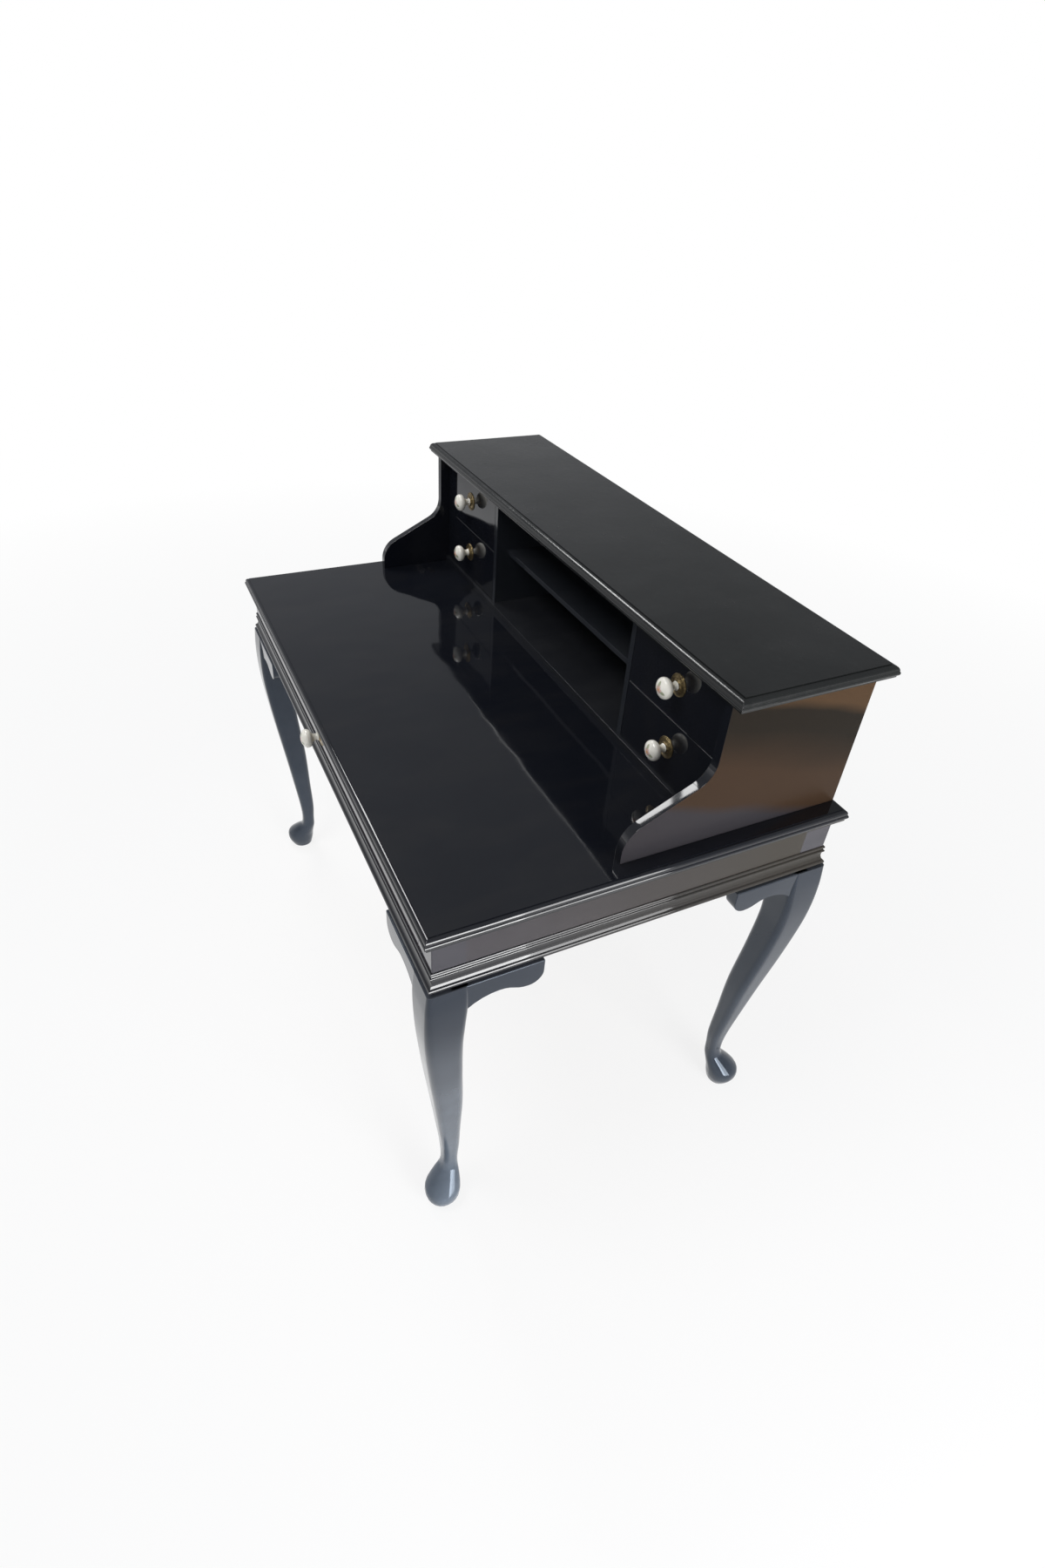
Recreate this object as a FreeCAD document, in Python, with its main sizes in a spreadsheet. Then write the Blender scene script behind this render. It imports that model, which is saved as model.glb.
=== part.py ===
"""Black lacquered writing desk with a gallery of small drawers (a bonheur du jour).

Millimetres, +Z up, front towards -Y. The origin lies on the floor under the middle of the desk's box,
whose front is the face of the frieze drawer's knob. Every size is a cell of the sheet, and every piece
is an object of the document whose sizes and place are expressions on those cells.
"""
import FreeCAD, Part
import math
import os
import Sketcher

SIZES = {
    # whole desk
    "top_width": 1146,
    "top_depth": 716,
    "table_height": 760,
    "gallery_height": 261,
    # edge of the table top and the gallery's top: a small step, an ovolo and a rounded rim
    "board_thickness": 20,
    "field_inset": 9,
    "step_drop": 1.5,
    "step_width": 1,
    "ovolo_drop": 8,
    "ovolo_rise": 1.9,
    "rim_quirk": 1.5,
    "rim_foot_height": 3,
    "rim_rise": 2,
    "rim_undercut": 1.5,
    # frieze under the top
    "frieze_inset": 15,
    "post_side": 50,
    "rail_thickness": 20,
    "apron_drop": 121,
    "cove_height": 11,
    "cove_reach": 11.5,
    "cove_hollow": 2.4,
    "cove_lip": 1.5,
    # moulding round the foot of the frieze
    "base_height": 40,
    "base_reach": 7,
    "base_foot_gap": 1.5,
    "base_round_height": 10,
    "base_round_rise": 3.5,
    "base_cove_hollow": 1.6,
    "lower_bead_height": 5.5,
    "lower_bead_rise": 2.2,
    "lower_bead_back": 1.2,
    "bead_gap": 1.5,
    "upper_bead_height": 6.5,
    "upper_bead_rise": 1.8,
    "upper_bead_back": 0.6,
    # knees of the cabriole legs and the brackets beside them
    "knee_corner": 6,
    "knee_reach": 10,
    "knee_swell": 1.5,
    "bracket_length": 121,
    "bracket_thickness": 24,
    "bracket_reach": 9.5,
    "bracket_arch_place": 50,
    "bracket_arch_drop": 34,
    "bracket_lobe_fall": 12.5,
    "bracket_nose": 24,
    "bracket_heel_fall": 18,
    # frieze drawer
    "drawer_gap": 0.8,
    "drawer_clearance": 0.3,
    "frieze_front_thickness": 20,
    "frieze_drawer_back_room": 106,
    "frieze_side_thickness": 12,
    "frieze_top_clearance": 5,
    "bottom_thickness": 6,
    "bottom_rise": 6,
    "groove_depth": 5,
    "groove_clearance": 0.2,
    "runner_width": 28,
    "runner_height": 20,
    "guide_headroom": 13,
    "glue_block_length": 60,
    "glue_block_side": 18,
    "glue_block_inset": 30,
    # gallery
    "slab_side_inset": 5,
    "slab_front": 436,
    "slab_back": 2,
    "slab_thickness": 19,
    "slab_rim_rise": 1.5,
    "slab_field_inset": 11,
    "panel_thickness": 16,
    "panel_overhang": 28,
    "panel_back_inset": 7,
    "panel_front_inset": 11,
    "panel_toe_reach": 139,
    "panel_toe_height": 17.3,
    "panel_toe_radius": 50,
    "panel_sweep_radius": 45,
    "panel_slope": 26,
    "drawer_plane_inset": 31,
    "partition_thickness": 12,
    "centre_width": 518,
    "base_board_thickness": 12,
    "base_board_reach": 7,
    "back_panel_thickness": 8,
    "back_panel_recess": 3,
    "tier_height": 109.5,
    "dust_board_thickness": 6,
    "shelf_thickness": 10,
    "shelf_setback": 27,
    "small_front_thickness": 16,
    "small_side_thickness": 9,
    "small_drawer_back_room": 7,
    "small_top_clearance": 8,
    # knobs
    "knob_radius": 17,
    "knob_crown_height": 11,
    "knob_shoulder_radius": 7.5,
    "knob_flare_length": 15.8,
    "knob_neck_length": 4.4,
    "knob_neck_radius": 6,
    "knob_neck_hollow": 0.4,
    "knob_foot_radius": 7.5,
    "knob_bore_radius": 2.5,
    "knob_bore_end": 22,
    "spindle_clearance": 0.1,
    "spindle_head_radius": 5,
    "spindle_head_height": 2.5,
    "rose_radius": 18.5,
    "rose_height": 1.6,
    "rose_shoulder_height": 3.2,
    "collar_radius": 9,
    "collar_height": 5,
    "upper_knob_lift": 1.5,
    "lower_knob_lift": 3.5,
    # screws that hold the gallery on the table top
    "screw_radius": 2.5,
    "screw_head_radius": 5,
    "screw_head_height": 3,
    "screw_engagement": 9,
    "screw_side_inset": 60,
    "screw_row_inset": 45,
}

# sections of a leg between the ankle and the frieze: the share of that height at which each lies
SHANK_SHARES = {
    "calf_a_share": 0.93,
    "calf_b_share": 0.842,
    "calf_c_share": 0.748,
    "calf_d_share": 0.584,
    "shin_a_share": 0.385,
    "shin_b_share": 0.203,
    "shin_c_share": 0.076,
}

# reach of their outer faces beyond the frieze post, side of the square section and radius of its corners
SHANK_STATIONS = {
    "calf_a": (13.5, 66.0, 9.0),
    "calf_b": (14.5, 64.0, 11.0),
    "calf_c": (12.0, 60.0, 12.0),
    "calf_d": (2.8, 55.4, 13.0),
    "shin_a": (-11.0, 49.0, 13.0),
    "shin_b": (-23.0, 38.8, 12.0),
    "shin_c": (-30.5, 32.4, 11.0),
}
SHANK_PARTS = ("reach", "side", "corner")

# the same from the ankle down, with the height above the floor
FOOT_STATIONS = {
    "ankle_a": (94, -32.0, 28.6, 10.5),
    "ankle_b": (72, -27.5, 33.0, 14.0),
    "instep": (54, -9.0, 51.0, 24.0),
    "pad_top": (37, 5.5, 64.0, 30.5),
    "pad_low": (18, 6.0, 62.0, 29.5),
    "sole": (0, -3.0, 48.0, 23.0),
}
FOOT_PARTS = ("height", "reach", "side", "corner")

# rise of a quarter circle over its chord, for a radius of one
QUARTER_BOW = 1 - math.sqrt(0.5)


class Size:
    """A length with its present value and the sheet expression that gives it."""

    def __init__(self, value, text):
        self.value = value
        self.text = text

    def join(self, sign, other):
        other = as_size(other)
        values = {
            "+": self.value + other.value,
            "-": self.value - other.value,
            "*": self.value * other.value,
        }
        value = self.value / other.value if sign == "/" else values[sign]
        return Size(value, f"({self.text} {sign} {other.text})")

    def __add__(self, other):
        return self.join("+", other)

    def __radd__(self, other):
        return as_size(other).join("+", self)

    def __sub__(self, other):
        return self.join("-", other)

    def __rsub__(self, other):
        return as_size(other).join("-", self)

    def __mul__(self, other):
        return self.join("*", other)

    def __rmul__(self, other):
        return as_size(other).join("*", self)

    def __truediv__(self, other):
        return self.join("/", other)

    def __neg__(self):
        return as_size(0).join("-", self)


def as_size(number):
    """A plain number becomes a size of its own."""
    return number if isinstance(number, Size) else Size(float(number), f"({number})")


def turn(function, angle):
    """Sine, cosine or tangent, by name, of an angle in degrees."""
    return Size(getattr(math, function)(math.radians(angle.value)), f"{function}({angle.text} * 1 deg)")


def root(size):
    """Square root of a size."""
    return Size(math.sqrt(size.value), f"sqrt({size.text})")


class SizeSheet:
    """The document's sheet of driving sizes, read as attributes."""

    def __init__(self, doc, sizes):
        self.values = sizes
        sheet = doc.addObject("Spreadsheet::Sheet", "Sizes")
        for row, (name, value) in enumerate(sizes.items(), start=1):
            sheet.set(f"A{row}", name)
            sheet.set(f"B{row}", str(value))
            sheet.setAlias(f"B{row}", name)
        doc.recompute()

    def __getattr__(self, name):
        return Size(float(self.values[name]), f"Sizes.{name}")


def all_sizes():
    """The sizes above with the cells of each leg station."""
    sizes = dict(SIZES)
    sizes.update(SHANK_SHARES)
    for stations, parts in ((SHANK_STATIONS, SHANK_PARTS), (FOOT_STATIONS, FOOT_PARTS)):
        for station, numbers in stations.items():
            for part, number in zip(parts, numbers):
                sizes[f"{station}_{part}"] = number
    return sizes


# ---------------------------------------------------------------- document helpers


def bind(item, prop, size):
    """Tie one property to its expression."""
    item.setExpression(prop, as_size(size).text)


def place(item, corner, turned=0):
    """Put an object at a corner given in sizes, turned about Z by whole degrees."""
    item.Placement = FreeCAD.Placement(FreeCAD.Vector(), FreeCAD.Rotation(FreeCAD.Vector(0, 0, 1), turned))
    for axis, size in zip("xyz", corner):
        bind(item, f"Placement.Base.{axis}", size)


def place_outwards(item, corner):
    """Put a turned piece so that its axis stands out along -Y from the corner."""
    item.Placement = FreeCAD.Placement(FreeCAD.Vector(), FreeCAD.Rotation(FreeCAD.Vector(1, 0, 0), 90))
    for axis, size in zip("xyz", corner):
        bind(item, f"Placement.Base.{axis}", size)


def block(doc, label, extent, corner):
    """A square-cut board: its three sizes and its lowest corner."""
    item = doc.addObject("Part::Box", label)
    for prop, size in zip(("Length", "Width", "Height"), extent):
        bind(item, prop, size)
    place(item, corner)
    return item


def group(doc, label, items):
    """Separate solids that share one node."""
    item = doc.addObject("Part::Compound", label)
    item.Links = items
    return item


def boolean(doc, kind, label, base, tool):
    """A two-shape boolean with its seams left as they fall."""
    item = doc.addObject(kind, label)
    item.Base = base
    item.Tool = tool
    item.Refine = False
    return item


def cut(doc, label, base, tool):
    """The base with the tool taken out of it."""
    return boolean(doc, "Part::Cut", label, base, tool)


def common(doc, label, base, tool):
    """What two shapes share."""
    return boolean(doc, "Part::Common", label, base, tool)


def mirrored(doc, label, source, axis, plane):
    """The mirror image of a piece in the plane across an axis at a place on it."""
    item = doc.addObject("Part::Mirroring", label)
    item.Source = source
    item.Normal = FreeCAD.Vector(*(1 if axis == name else 0 for name in "xyz"))
    bind(item, f"Base.{axis}", plane)
    return item


def draw_outline(sketch, points):
    """Close an anticlockwise outline. A point is (x, y) or (x, y, rise), where rise bows the edge that
    leaves it outwards by that much, or inwards where it is negative."""
    edges = []
    for index, point in enumerate(points):
        following = points[(index + 1) % len(points)]
        edges.append(draw_edge(sketch, point, following))
    for index, (edge, first, last) in enumerate(edges):
        pin_vertex(sketch, edge, first, points[index])
        next_edge, next_first, _ = edges[(index + 1) % len(edges)]
        sketch.addConstraint(Sketcher.Constraint("Coincident", edge, last, next_edge, next_first))


def draw_edge(sketch, point, following):
    """One straight or bowed edge. Gives its index and the numbers of its first and last ends."""
    start = FreeCAD.Vector(point[0].value, point[1].value, 0)
    end = FreeCAD.Vector(following[0].value, following[1].value, 0)
    if len(point) == 2:
        return sketch.addGeometry(Part.LineSegment(start, end), False), 1, 2
    rise = point[2]
    run = end - start
    outward = FreeCAD.Vector(run.y, -run.x, 0).normalize()
    crown = (start + end) / 2 + outward * rise.value
    height = rise if rise.value > 0 else -rise
    across = following[0] - point[0]
    along = following[1] - point[1]
    radius = (across * across + along * along) / (8 * height) + height / 2
    ends = (start, crown, end) if rise.value > 0 else (end, crown, start)
    edge = sketch.addGeometry(Part.Arc(*ends), False)
    number = sketch.addConstraint(Sketcher.Constraint("Radius", edge, radius.value))
    sketch.setExpression(f"Constraints[{number}]", radius.text)
    return (edge, 1, 2) if rise.value > 0 else (edge, 2, 1)


def pin_vertex(sketch, edge, end, point):
    """Hold one end of an edge at its two sheet distances from the sketch's origin."""
    for kind, size in zip(("DistanceX", "DistanceY"), point):
        number = sketch.addConstraint(Sketcher.Constraint(kind, -1, 1, edge, end, size.value))
        sketch.setExpression(f"Constraints[{number}]", size.text)


def sketch_in(body, role, points, lift=None):
    """A closed outline on one of the body's own origin planes, lifted along its normal if asked."""
    sketch = body.newObject("Sketcher::SketchObject", "Outline")
    plane = next(item for item in body.Origin.OriginFeatures if item.Role == role)
    sketch.AttachmentSupport = [(plane, "")]
    sketch.MapMode = "FlatFace"
    if lift is not None:
        bind(sketch, "AttachmentOffset.Base.z", lift)
    draw_outline(sketch, [tuple(as_size(item) for item in point) for point in points])
    return sketch


def padded(doc, label, role, points, length, centred=False, backwards=False):
    """A body made by padding one outline."""
    body = doc.addObject("PartDesign::Body", label)
    sketch = sketch_in(body, role, points)
    pad = body.newObject("PartDesign::Pad", "Pad")
    pad.Profile = sketch
    pad.Midplane = centred
    pad.Reversed = backwards
    bind(pad, "Length", length)
    return body


def turned_body(doc, label, points):
    """A body turned about the vertical axis from its half outline in the XZ plane."""
    body = doc.addObject("PartDesign::Body", label)
    sketch = sketch_in(body, "XZ_Plane", points)
    revolution = body.newObject("PartDesign::Revolution", "Turning")
    revolution.Profile = sketch
    revolution.ReferenceAxis = (sketch, ["V_Axis"])
    revolution.Angle = 360
    return body


# ---------------------------------------------------------------- derived places


def knob_widest(s):
    """Distance from a drawer's face out to where its knob is widest."""
    return s.collar_height + s.knob_neck_length + s.knob_flare_length


class Layout:
    """Places worked out from the sheet, shared by the pieces that meet there."""

    def __init__(self, s):
        self.knob_length = knob_widest(s) + s.knob_crown_height
        knob_reach = self.knob_length - s.frieze_inset
        self.front = (knob_reach - s.top_depth) / 2
        self.back = self.front + s.top_depth
        self.middle = self.front + s.top_depth / 2
        self.half = s.top_width / 2
        # table heights
        self.top = s.table_height
        self.board_bottom = self.top - s.board_thickness
        self.apron_bottom = self.top - s.apron_drop
        self.drawer_floor = self.apron_bottom + s.base_height
        self.drawer_roof = self.board_bottom - s.cove_height
        # frieze faces
        self.face_x = self.half - s.frieze_inset
        self.face_front = self.front + s.frieze_inset
        self.face_back = self.back - s.frieze_inset
        self.post_x = self.face_x - s.post_side
        self.post_front = self.face_front + s.post_side
        self.post_back = self.face_back - s.post_side
        self.rail_front = self.face_front + s.rail_thickness
        self.rail_back = self.face_back - s.rail_thickness
        self.rail_x = self.face_x - s.rail_thickness
        # gallery
        self.slab_front = self.front + s.slab_front
        self.slab_back = self.back - s.slab_back
        self.slab_half = self.half - s.slab_side_inset
        self.slab_top = self.top + s.gallery_height
        self.slab_bottom = self.slab_top - s.slab_thickness
        self.panel_outer = self.slab_half - s.panel_overhang
        self.panel_inner = self.panel_outer - s.panel_thickness
        self.panel_back = self.slab_back - s.panel_back_inset
        self.panel_front = self.slab_front + s.panel_front_inset
        self.back_panel = self.panel_back - s.back_panel_recess - s.back_panel_thickness
        self.drawer_plane = self.slab_front + s.drawer_plane_inset
        self.partition_inner = s.centre_width / 2
        self.partition_outer = self.partition_inner + s.partition_thickness
        self.base_top = self.top + s.base_board_thickness
        self.tier_split = self.base_top + s.tier_height
        self.dust_front = self.drawer_plane + s.small_front_thickness + s.drawer_gap
        self.bank_centre = (self.partition_outer + self.panel_inner) / 2


# ---------------------------------------------------------------- table top and mouldings


def both_edges(profile, half):
    """Outline across a board from the profile of its right edge, bottom to top, as (inset, height) and
    a rise where the next edge is bowed."""
    right = [(half - point[0],) + tuple(point[1:]) for point in profile]
    left = []
    for index in reversed(range(len(profile))):
        rise = tuple(profile[index - 1][2:]) if index else ()
        left.append((profile[index][0] - half, profile[index][1]) + rise)
    return right + left


def moulded_board(doc, label, width, depth, profile, corner):
    """A board with the same moulding run round its four edges, mitred at the corners."""
    along = padded(doc, f"{label}_run_x", "YZ_Plane", both_edges(profile, depth / 2), width, centred=True)
    across = padded(doc, f"{label}_run_y", "XZ_Plane", both_edges(profile, width / 2), depth, centred=True)
    board = common(doc, label, along, across)
    place(board, corner)
    return board


def edge_profile(s, thickness, rim_rise, field_inset):
    """Edge of a top board, bottom to top: a rounded rim, a quirk, an ovolo and a step to the field."""
    rim_foot = s.rim_foot_height - thickness
    return [
        (rim_rise + s.rim_undercut, -thickness),
        (rim_rise + s.rim_undercut, rim_foot),
        (rim_rise, rim_foot, rim_rise),
        (rim_rise, -s.ovolo_drop - s.rim_quirk),
        (rim_rise, -s.ovolo_drop, s.ovolo_rise),
        (field_inset - s.step_width, -s.step_drop),
        (field_inset, -s.step_drop),
        (field_inset, as_size(0)),
    ]


def table_top(doc, s, at, holes):
    """Top board of the desk, drilled for the gallery's screws."""
    profile = edge_profile(s, s.board_thickness, s.rim_rise, s.field_inset)
    board = moulded_board(doc, "table_top_board", s.top_width, s.top_depth, profile, (0, at.middle, at.top))
    return cut(doc, "table_top", board, holes)


def gallery_top(doc, s, at):
    """Slab over the gallery, moulded like the top board."""
    profile = edge_profile(s, s.slab_thickness, s.slab_rim_rise, s.slab_field_inset)
    depth = at.slab_back - at.slab_front
    return moulded_board(doc, "gallery_top", at.slab_half * 2, depth, profile,
                         (0, (at.slab_front + at.slab_back) / 2, at.slab_top))


def mitred_strip(doc, label, profile, reach, height, length, corner, turned):
    """A moulding strip with mitred ends. Its back lies on a frieze face at local x = 0, and it runs
    along local y, centred, before it is turned to its side of the desk."""
    run = padded(doc, f"{label}_run", "XZ_Plane", profile, length + 2 * reach, centred=True)
    plan = [
        (0, -length / 2),
        (reach, -length / 2 - reach),
        (reach, length / 2 + reach),
        (0, length / 2),
    ]
    mitres = padded(doc, f"{label}_mitres", "XY_Plane", plan, height)
    strip = common(doc, label, run, mitres)
    place(strip, corner, turned)
    return strip


def cornice_profile(s):
    """Cove under the top board, from the frieze face out to the board's rim."""
    return [
        (0, 0),
        (s.cove_lip, 0),
        (s.cove_lip, s.cove_lip, -s.cove_hollow),
        (s.cove_reach, s.cove_height - s.cove_lip),
        (s.cove_reach, s.cove_height),
        (0, s.cove_height),
    ]


def base_profile(s):
    """Moulding at the foot of the frieze: a bold round, a cove and two small beads."""
    round_top = s.base_foot_gap + s.base_round_height
    upper_bead_foot = s.base_height - s.upper_bead_height
    lower_bead_top = upper_bead_foot - s.bead_gap
    cove_top = lower_bead_top - s.lower_bead_height
    neck = s.base_reach - s.base_round_rise
    return [
        (0, 0),
        (neck, 0),
        (neck, s.base_foot_gap, s.base_round_rise),
        (neck, round_top, -s.base_cove_hollow),
        (s.lower_bead_back, cove_top, s.lower_bead_rise),
        (s.lower_bead_back, lower_bead_top),
        (s.upper_bead_back, upper_bead_foot, s.upper_bead_rise),
        (s.upper_bead_back, s.base_height),
        (0, s.base_height),
    ]


def frieze_mouldings(doc, s, at):
    """Cornice and base mouldings on the four sides of the frieze."""
    width = at.face_x * 2
    depth = at.face_back - at.face_front
    sides = {
        "front": (width, (0, at.face_front), 270),
        "right": (depth, (at.face_x, at.middle), 0),
        "back": (width, (0, at.face_back), 90),
        "left": (depth, (-at.face_x, at.middle), 180),
    }
    strips = []
    for side, (length, (x, y), turned) in sides.items():
        strips.append(mitred_strip(doc, f"cornice_moulding_{side}", cornice_profile(s), s.cove_reach,
                                   s.cove_height, length, (x, y, at.drawer_roof), turned))
        strips.append(mitred_strip(doc, f"base_moulding_{side}", base_profile(s), s.base_reach,
                                   s.base_height, length, (x, y, at.apron_bottom), turned))
    return strips


# ---------------------------------------------------------------- legs and frieze


def rounded_square(reach, side, corner):
    """Section of a leg: a square with rounded corners, its outer faces a reach beyond the post."""
    low = -reach
    high = side - reach
    bow = corner * QUARTER_BOW
    near = low + corner
    far = high - corner
    return [
        (near, low),
        (far, low, bow),
        (high, near),
        (high, far, bow),
        (far, high),
        (near, high, bow),
        (low, far),
        (low, near, bow),
    ]


def leg(doc, s, at):
    """Front left cabriole leg: a square frieze post over a knee, a shin, an ankle and a club foot."""
    body = doc.addObject("PartDesign::Body", "leg_front_left")
    knee_side = s.knee_reach + s.post_side + s.knee_swell
    knee = rounded_square(s.knee_reach, knee_side, s.knee_corner)
    sections = [sketch_in(body, "XY_Plane", knee, at.apron_bottom)]
    for station in SHANK_STATIONS:
        share = getattr(s, f"{station}_share")
        reach, side, corner = (getattr(s, f"{station}_{part}") for part in SHANK_PARTS)
        height = s.ankle_a_height + (at.apron_bottom - s.ankle_a_height) * share
        sections.append(sketch_in(body, "XY_Plane", rounded_square(reach, side, corner), height))
    for station in FOOT_STATIONS:
        height, reach, side, corner = (getattr(s, f"{station}_{part}") for part in FOOT_PARTS)
        sections.append(sketch_in(body, "XY_Plane", rounded_square(reach, side, corner), height))
    loft = body.newObject("PartDesign::AdditiveLoft", "Cabriole")
    loft.Profile = sections[0]
    loft.Sections = sections[1:]
    square = [(0, 0), (s.post_side, 0), (s.post_side, s.post_side), (0, s.post_side)]
    post = body.newObject("PartDesign::Pad", "Post")
    post.Profile = sketch_in(body, "XY_Plane", square, at.apron_bottom)
    bind(post, "Length", at.board_bottom - at.apron_bottom)
    place(body, (-at.face_x, at.face_front, 0))
    return body


def level_bow(across, fall):
    """Rise of an arc that leaves one end level and falls by this much over this distance."""
    radius = (across * across + fall * fall) / (2 * fall)
    chord = across * across + fall * fall
    return radius - root(radius * radius - chord / 4)


def bracket_outline(s):
    """Knee bracket seen square on: length away from the post's corner, depth below the frieze."""
    start = s.post_side / 2
    heel = s.bracket_arch_drop + s.bracket_heel_fall
    arch = s.post_side + s.bracket_arch_place
    tip = s.post_side + s.bracket_length
    lobe = tip - s.bracket_nose
    lobe_drop = s.bracket_arch_drop + s.bracket_lobe_fall
    half_fall = level_bow((lobe - arch) / 2, s.bracket_lobe_fall / 2)
    return [
        (start, 0),
        (start, -heel),
        (s.post_side, -heel, -level_bow(s.bracket_arch_place, s.bracket_heel_fall)),
        (arch, -s.bracket_arch_drop, -half_fall),
        ((arch + lobe) / 2, -s.bracket_arch_drop - s.bracket_lobe_fall / 2, half_fall),
        (lobe, -lobe_drop, s.bracket_nose * QUARTER_BOW),
        (tip, s.bracket_nose - lobe_drop),
        (tip, 0),
    ]


def knee_brackets(doc, s, at, leg_body):
    """Two brackets on either side of the front left knee, cut to the knee's curve."""
    outline = bracket_outline(s)
    front = padded(doc, "bracket_along_front", "XZ_Plane", outline, s.bracket_thickness, backwards=True)
    place(front, (-at.face_x, at.face_front - s.bracket_reach, at.apron_bottom))
    side = padded(doc, "bracket_along_side", "YZ_Plane", outline, s.bracket_thickness)
    place(side, (-at.face_x - s.bracket_reach, at.face_front, at.apron_bottom))
    fitted = [cut(doc, f"{item.Name}_fitted", item, leg_body) for item in (front, side)]
    return group(doc, "knee_brackets_front_left", fitted)


def four_corners(doc, at, source, stem):
    """The other three corners' mirror images of a front left piece."""
    front_right = mirrored(doc, f"{stem}_front_right", source, "x", as_size(0))
    rear_left = mirrored(doc, f"{stem}_rear_left", source, "y", at.middle)
    rear_right = mirrored(doc, f"{stem}_rear_right", front_right, "y", at.middle)
    return [source, front_right, rear_left, rear_right]


def frieze_rails(doc, s, at):
    """Rails between the posts; the front has one below and one above the drawer."""
    span_x = at.post_x * 2
    span_y = at.post_back - at.post_front
    height = at.board_bottom - at.apron_bottom
    thickness = s.rail_thickness
    return [
        block(doc, "frieze_rail_back", (span_x, thickness, height),
              (-at.post_x, at.rail_back, at.apron_bottom)),
        block(doc, "frieze_rail_left", (thickness, span_y, height),
              (-at.face_x, at.post_front, at.apron_bottom)),
        block(doc, "frieze_rail_right", (thickness, span_y, height),
              (at.rail_x, at.post_front, at.apron_bottom)),
        block(doc, "front_rail_lower", (span_x, thickness, s.base_height),
              (-at.post_x, at.face_front, at.apron_bottom)),
        block(doc, "front_rail_upper", (span_x, thickness, s.cove_height),
              (-at.post_x, at.face_front, at.drawer_roof)),
    ]


def left_and_right(doc, label, extent, inner_x, y, z):
    """Two equal boards, one each side, whose inner faces stand at plus and minus inner_x."""
    right = block(doc, f"{label}_right_part", extent, (inner_x, y, z))
    left = block(doc, f"{label}_left_part", extent, (-inner_x - extent[0], y, z))
    return group(doc, label, [left, right])


def drawer_supports(doc, s, at):
    """Runners, guides and kickers that carry and steer the frieze drawer, and the top's glue blocks."""
    inner = at.post_x - s.runner_width
    run = at.rail_back - at.rail_front
    bearers = left_and_right(doc, "runner_bearers", (s.runner_width, run, s.runner_height),
                             inner, at.rail_front, at.drawer_floor - s.runner_height)
    guide_height = at.board_bottom - s.glue_block_side - s.guide_headroom - at.drawer_floor
    guides = left_and_right(doc, "runner_guides",
                            (at.rail_x - at.post_x, at.post_back - at.post_front, guide_height),
                            at.post_x, at.post_front, at.drawer_floor)
    runners = group(doc, "frieze_drawer_runners", [bearers, guides])
    kickers = left_and_right(doc, "frieze_drawer_kickers", (s.runner_width, run, s.cove_height),
                             inner, at.rail_front, at.drawer_roof)
    side = s.glue_block_side
    places = [at.post_front + s.glue_block_inset, at.post_back - s.glue_block_inset - s.glue_block_length]
    blocks = []
    for number, y in enumerate(places):
        blocks.append(left_and_right(doc, f"glue_block_row_{number}", (side, s.glue_block_length, side),
                                     at.rail_x - side, y, at.board_bottom - side))
    return [runners, kickers, group(doc, "table_top_glue_blocks", blocks)]


# ---------------------------------------------------------------- knobs


def knob(doc, s, name, thickness, corner):
    """A porcelain knob and its brass rose and spindle, standing out along -Y from a drawer front whose
    outer face is at the corner and whose thickness the spindle crosses."""
    wide = s.knob_radius
    neck = s.knob_neck_radius
    widest = knob_widest(s)
    flare = level_bow(s.knob_flare_length / 2, (wide - neck) / 2)
    # the small arc of the shoulder and the large arc of the crown are tangent where they meet
    across = wide - s.knob_shoulder_radius
    along = s.knob_crown_height - s.knob_shoulder_radius
    spread = (across * across + along * along) / (2 * along)
    meet_out = across + s.knob_shoulder_radius * across / spread
    meet_on = s.knob_shoulder_radius * (spread - along) / spread
    porcelain = turned_body(doc, f"{name}_knob", [
        (s.knob_bore_radius, s.collar_height),
        (s.knob_foot_radius, s.collar_height, -s.knob_neck_hollow),
        (neck, s.collar_height + s.knob_neck_length, -flare),
        ((wide + neck) / 2, widest - s.knob_flare_length / 2, flare),
        (wide, widest, level_bow(meet_on, wide - meet_out)),
        (meet_out, widest + meet_on, level_bow(meet_out, s.knob_crown_height - meet_on)),
        (0, widest + s.knob_crown_height),
        (0, s.knob_bore_end),
        (s.knob_bore_radius, s.knob_bore_end),
    ])
    stem = s.knob_bore_radius - s.spindle_clearance
    rose = turned_body(doc, f"{name}_rose", [
        (s.knob_bore_radius, 0),
        (s.rose_radius, 0),
        (s.rose_radius, s.rose_height),
        (s.collar_radius, s.rose_shoulder_height),
        (s.collar_radius, s.collar_height),
        (s.knob_bore_radius, s.collar_height),
    ])
    spindle = turned_body(doc, f"{name}_spindle", [
        (0, -thickness - s.spindle_head_height),
        (s.spindle_head_radius, -thickness - s.spindle_head_height),
        (s.spindle_head_radius, -thickness),
        (stem, -thickness),
        (stem, s.knob_bore_end - s.spindle_clearance),
        (0, s.knob_bore_end - s.spindle_clearance),
    ])
    for body in (porcelain, rose, spindle):
        place_outwards(body, corner)
    return [porcelain, group(doc, f"{name}_knob_fitting", [rose, spindle])]


# ---------------------------------------------------------------- drawers


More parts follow.
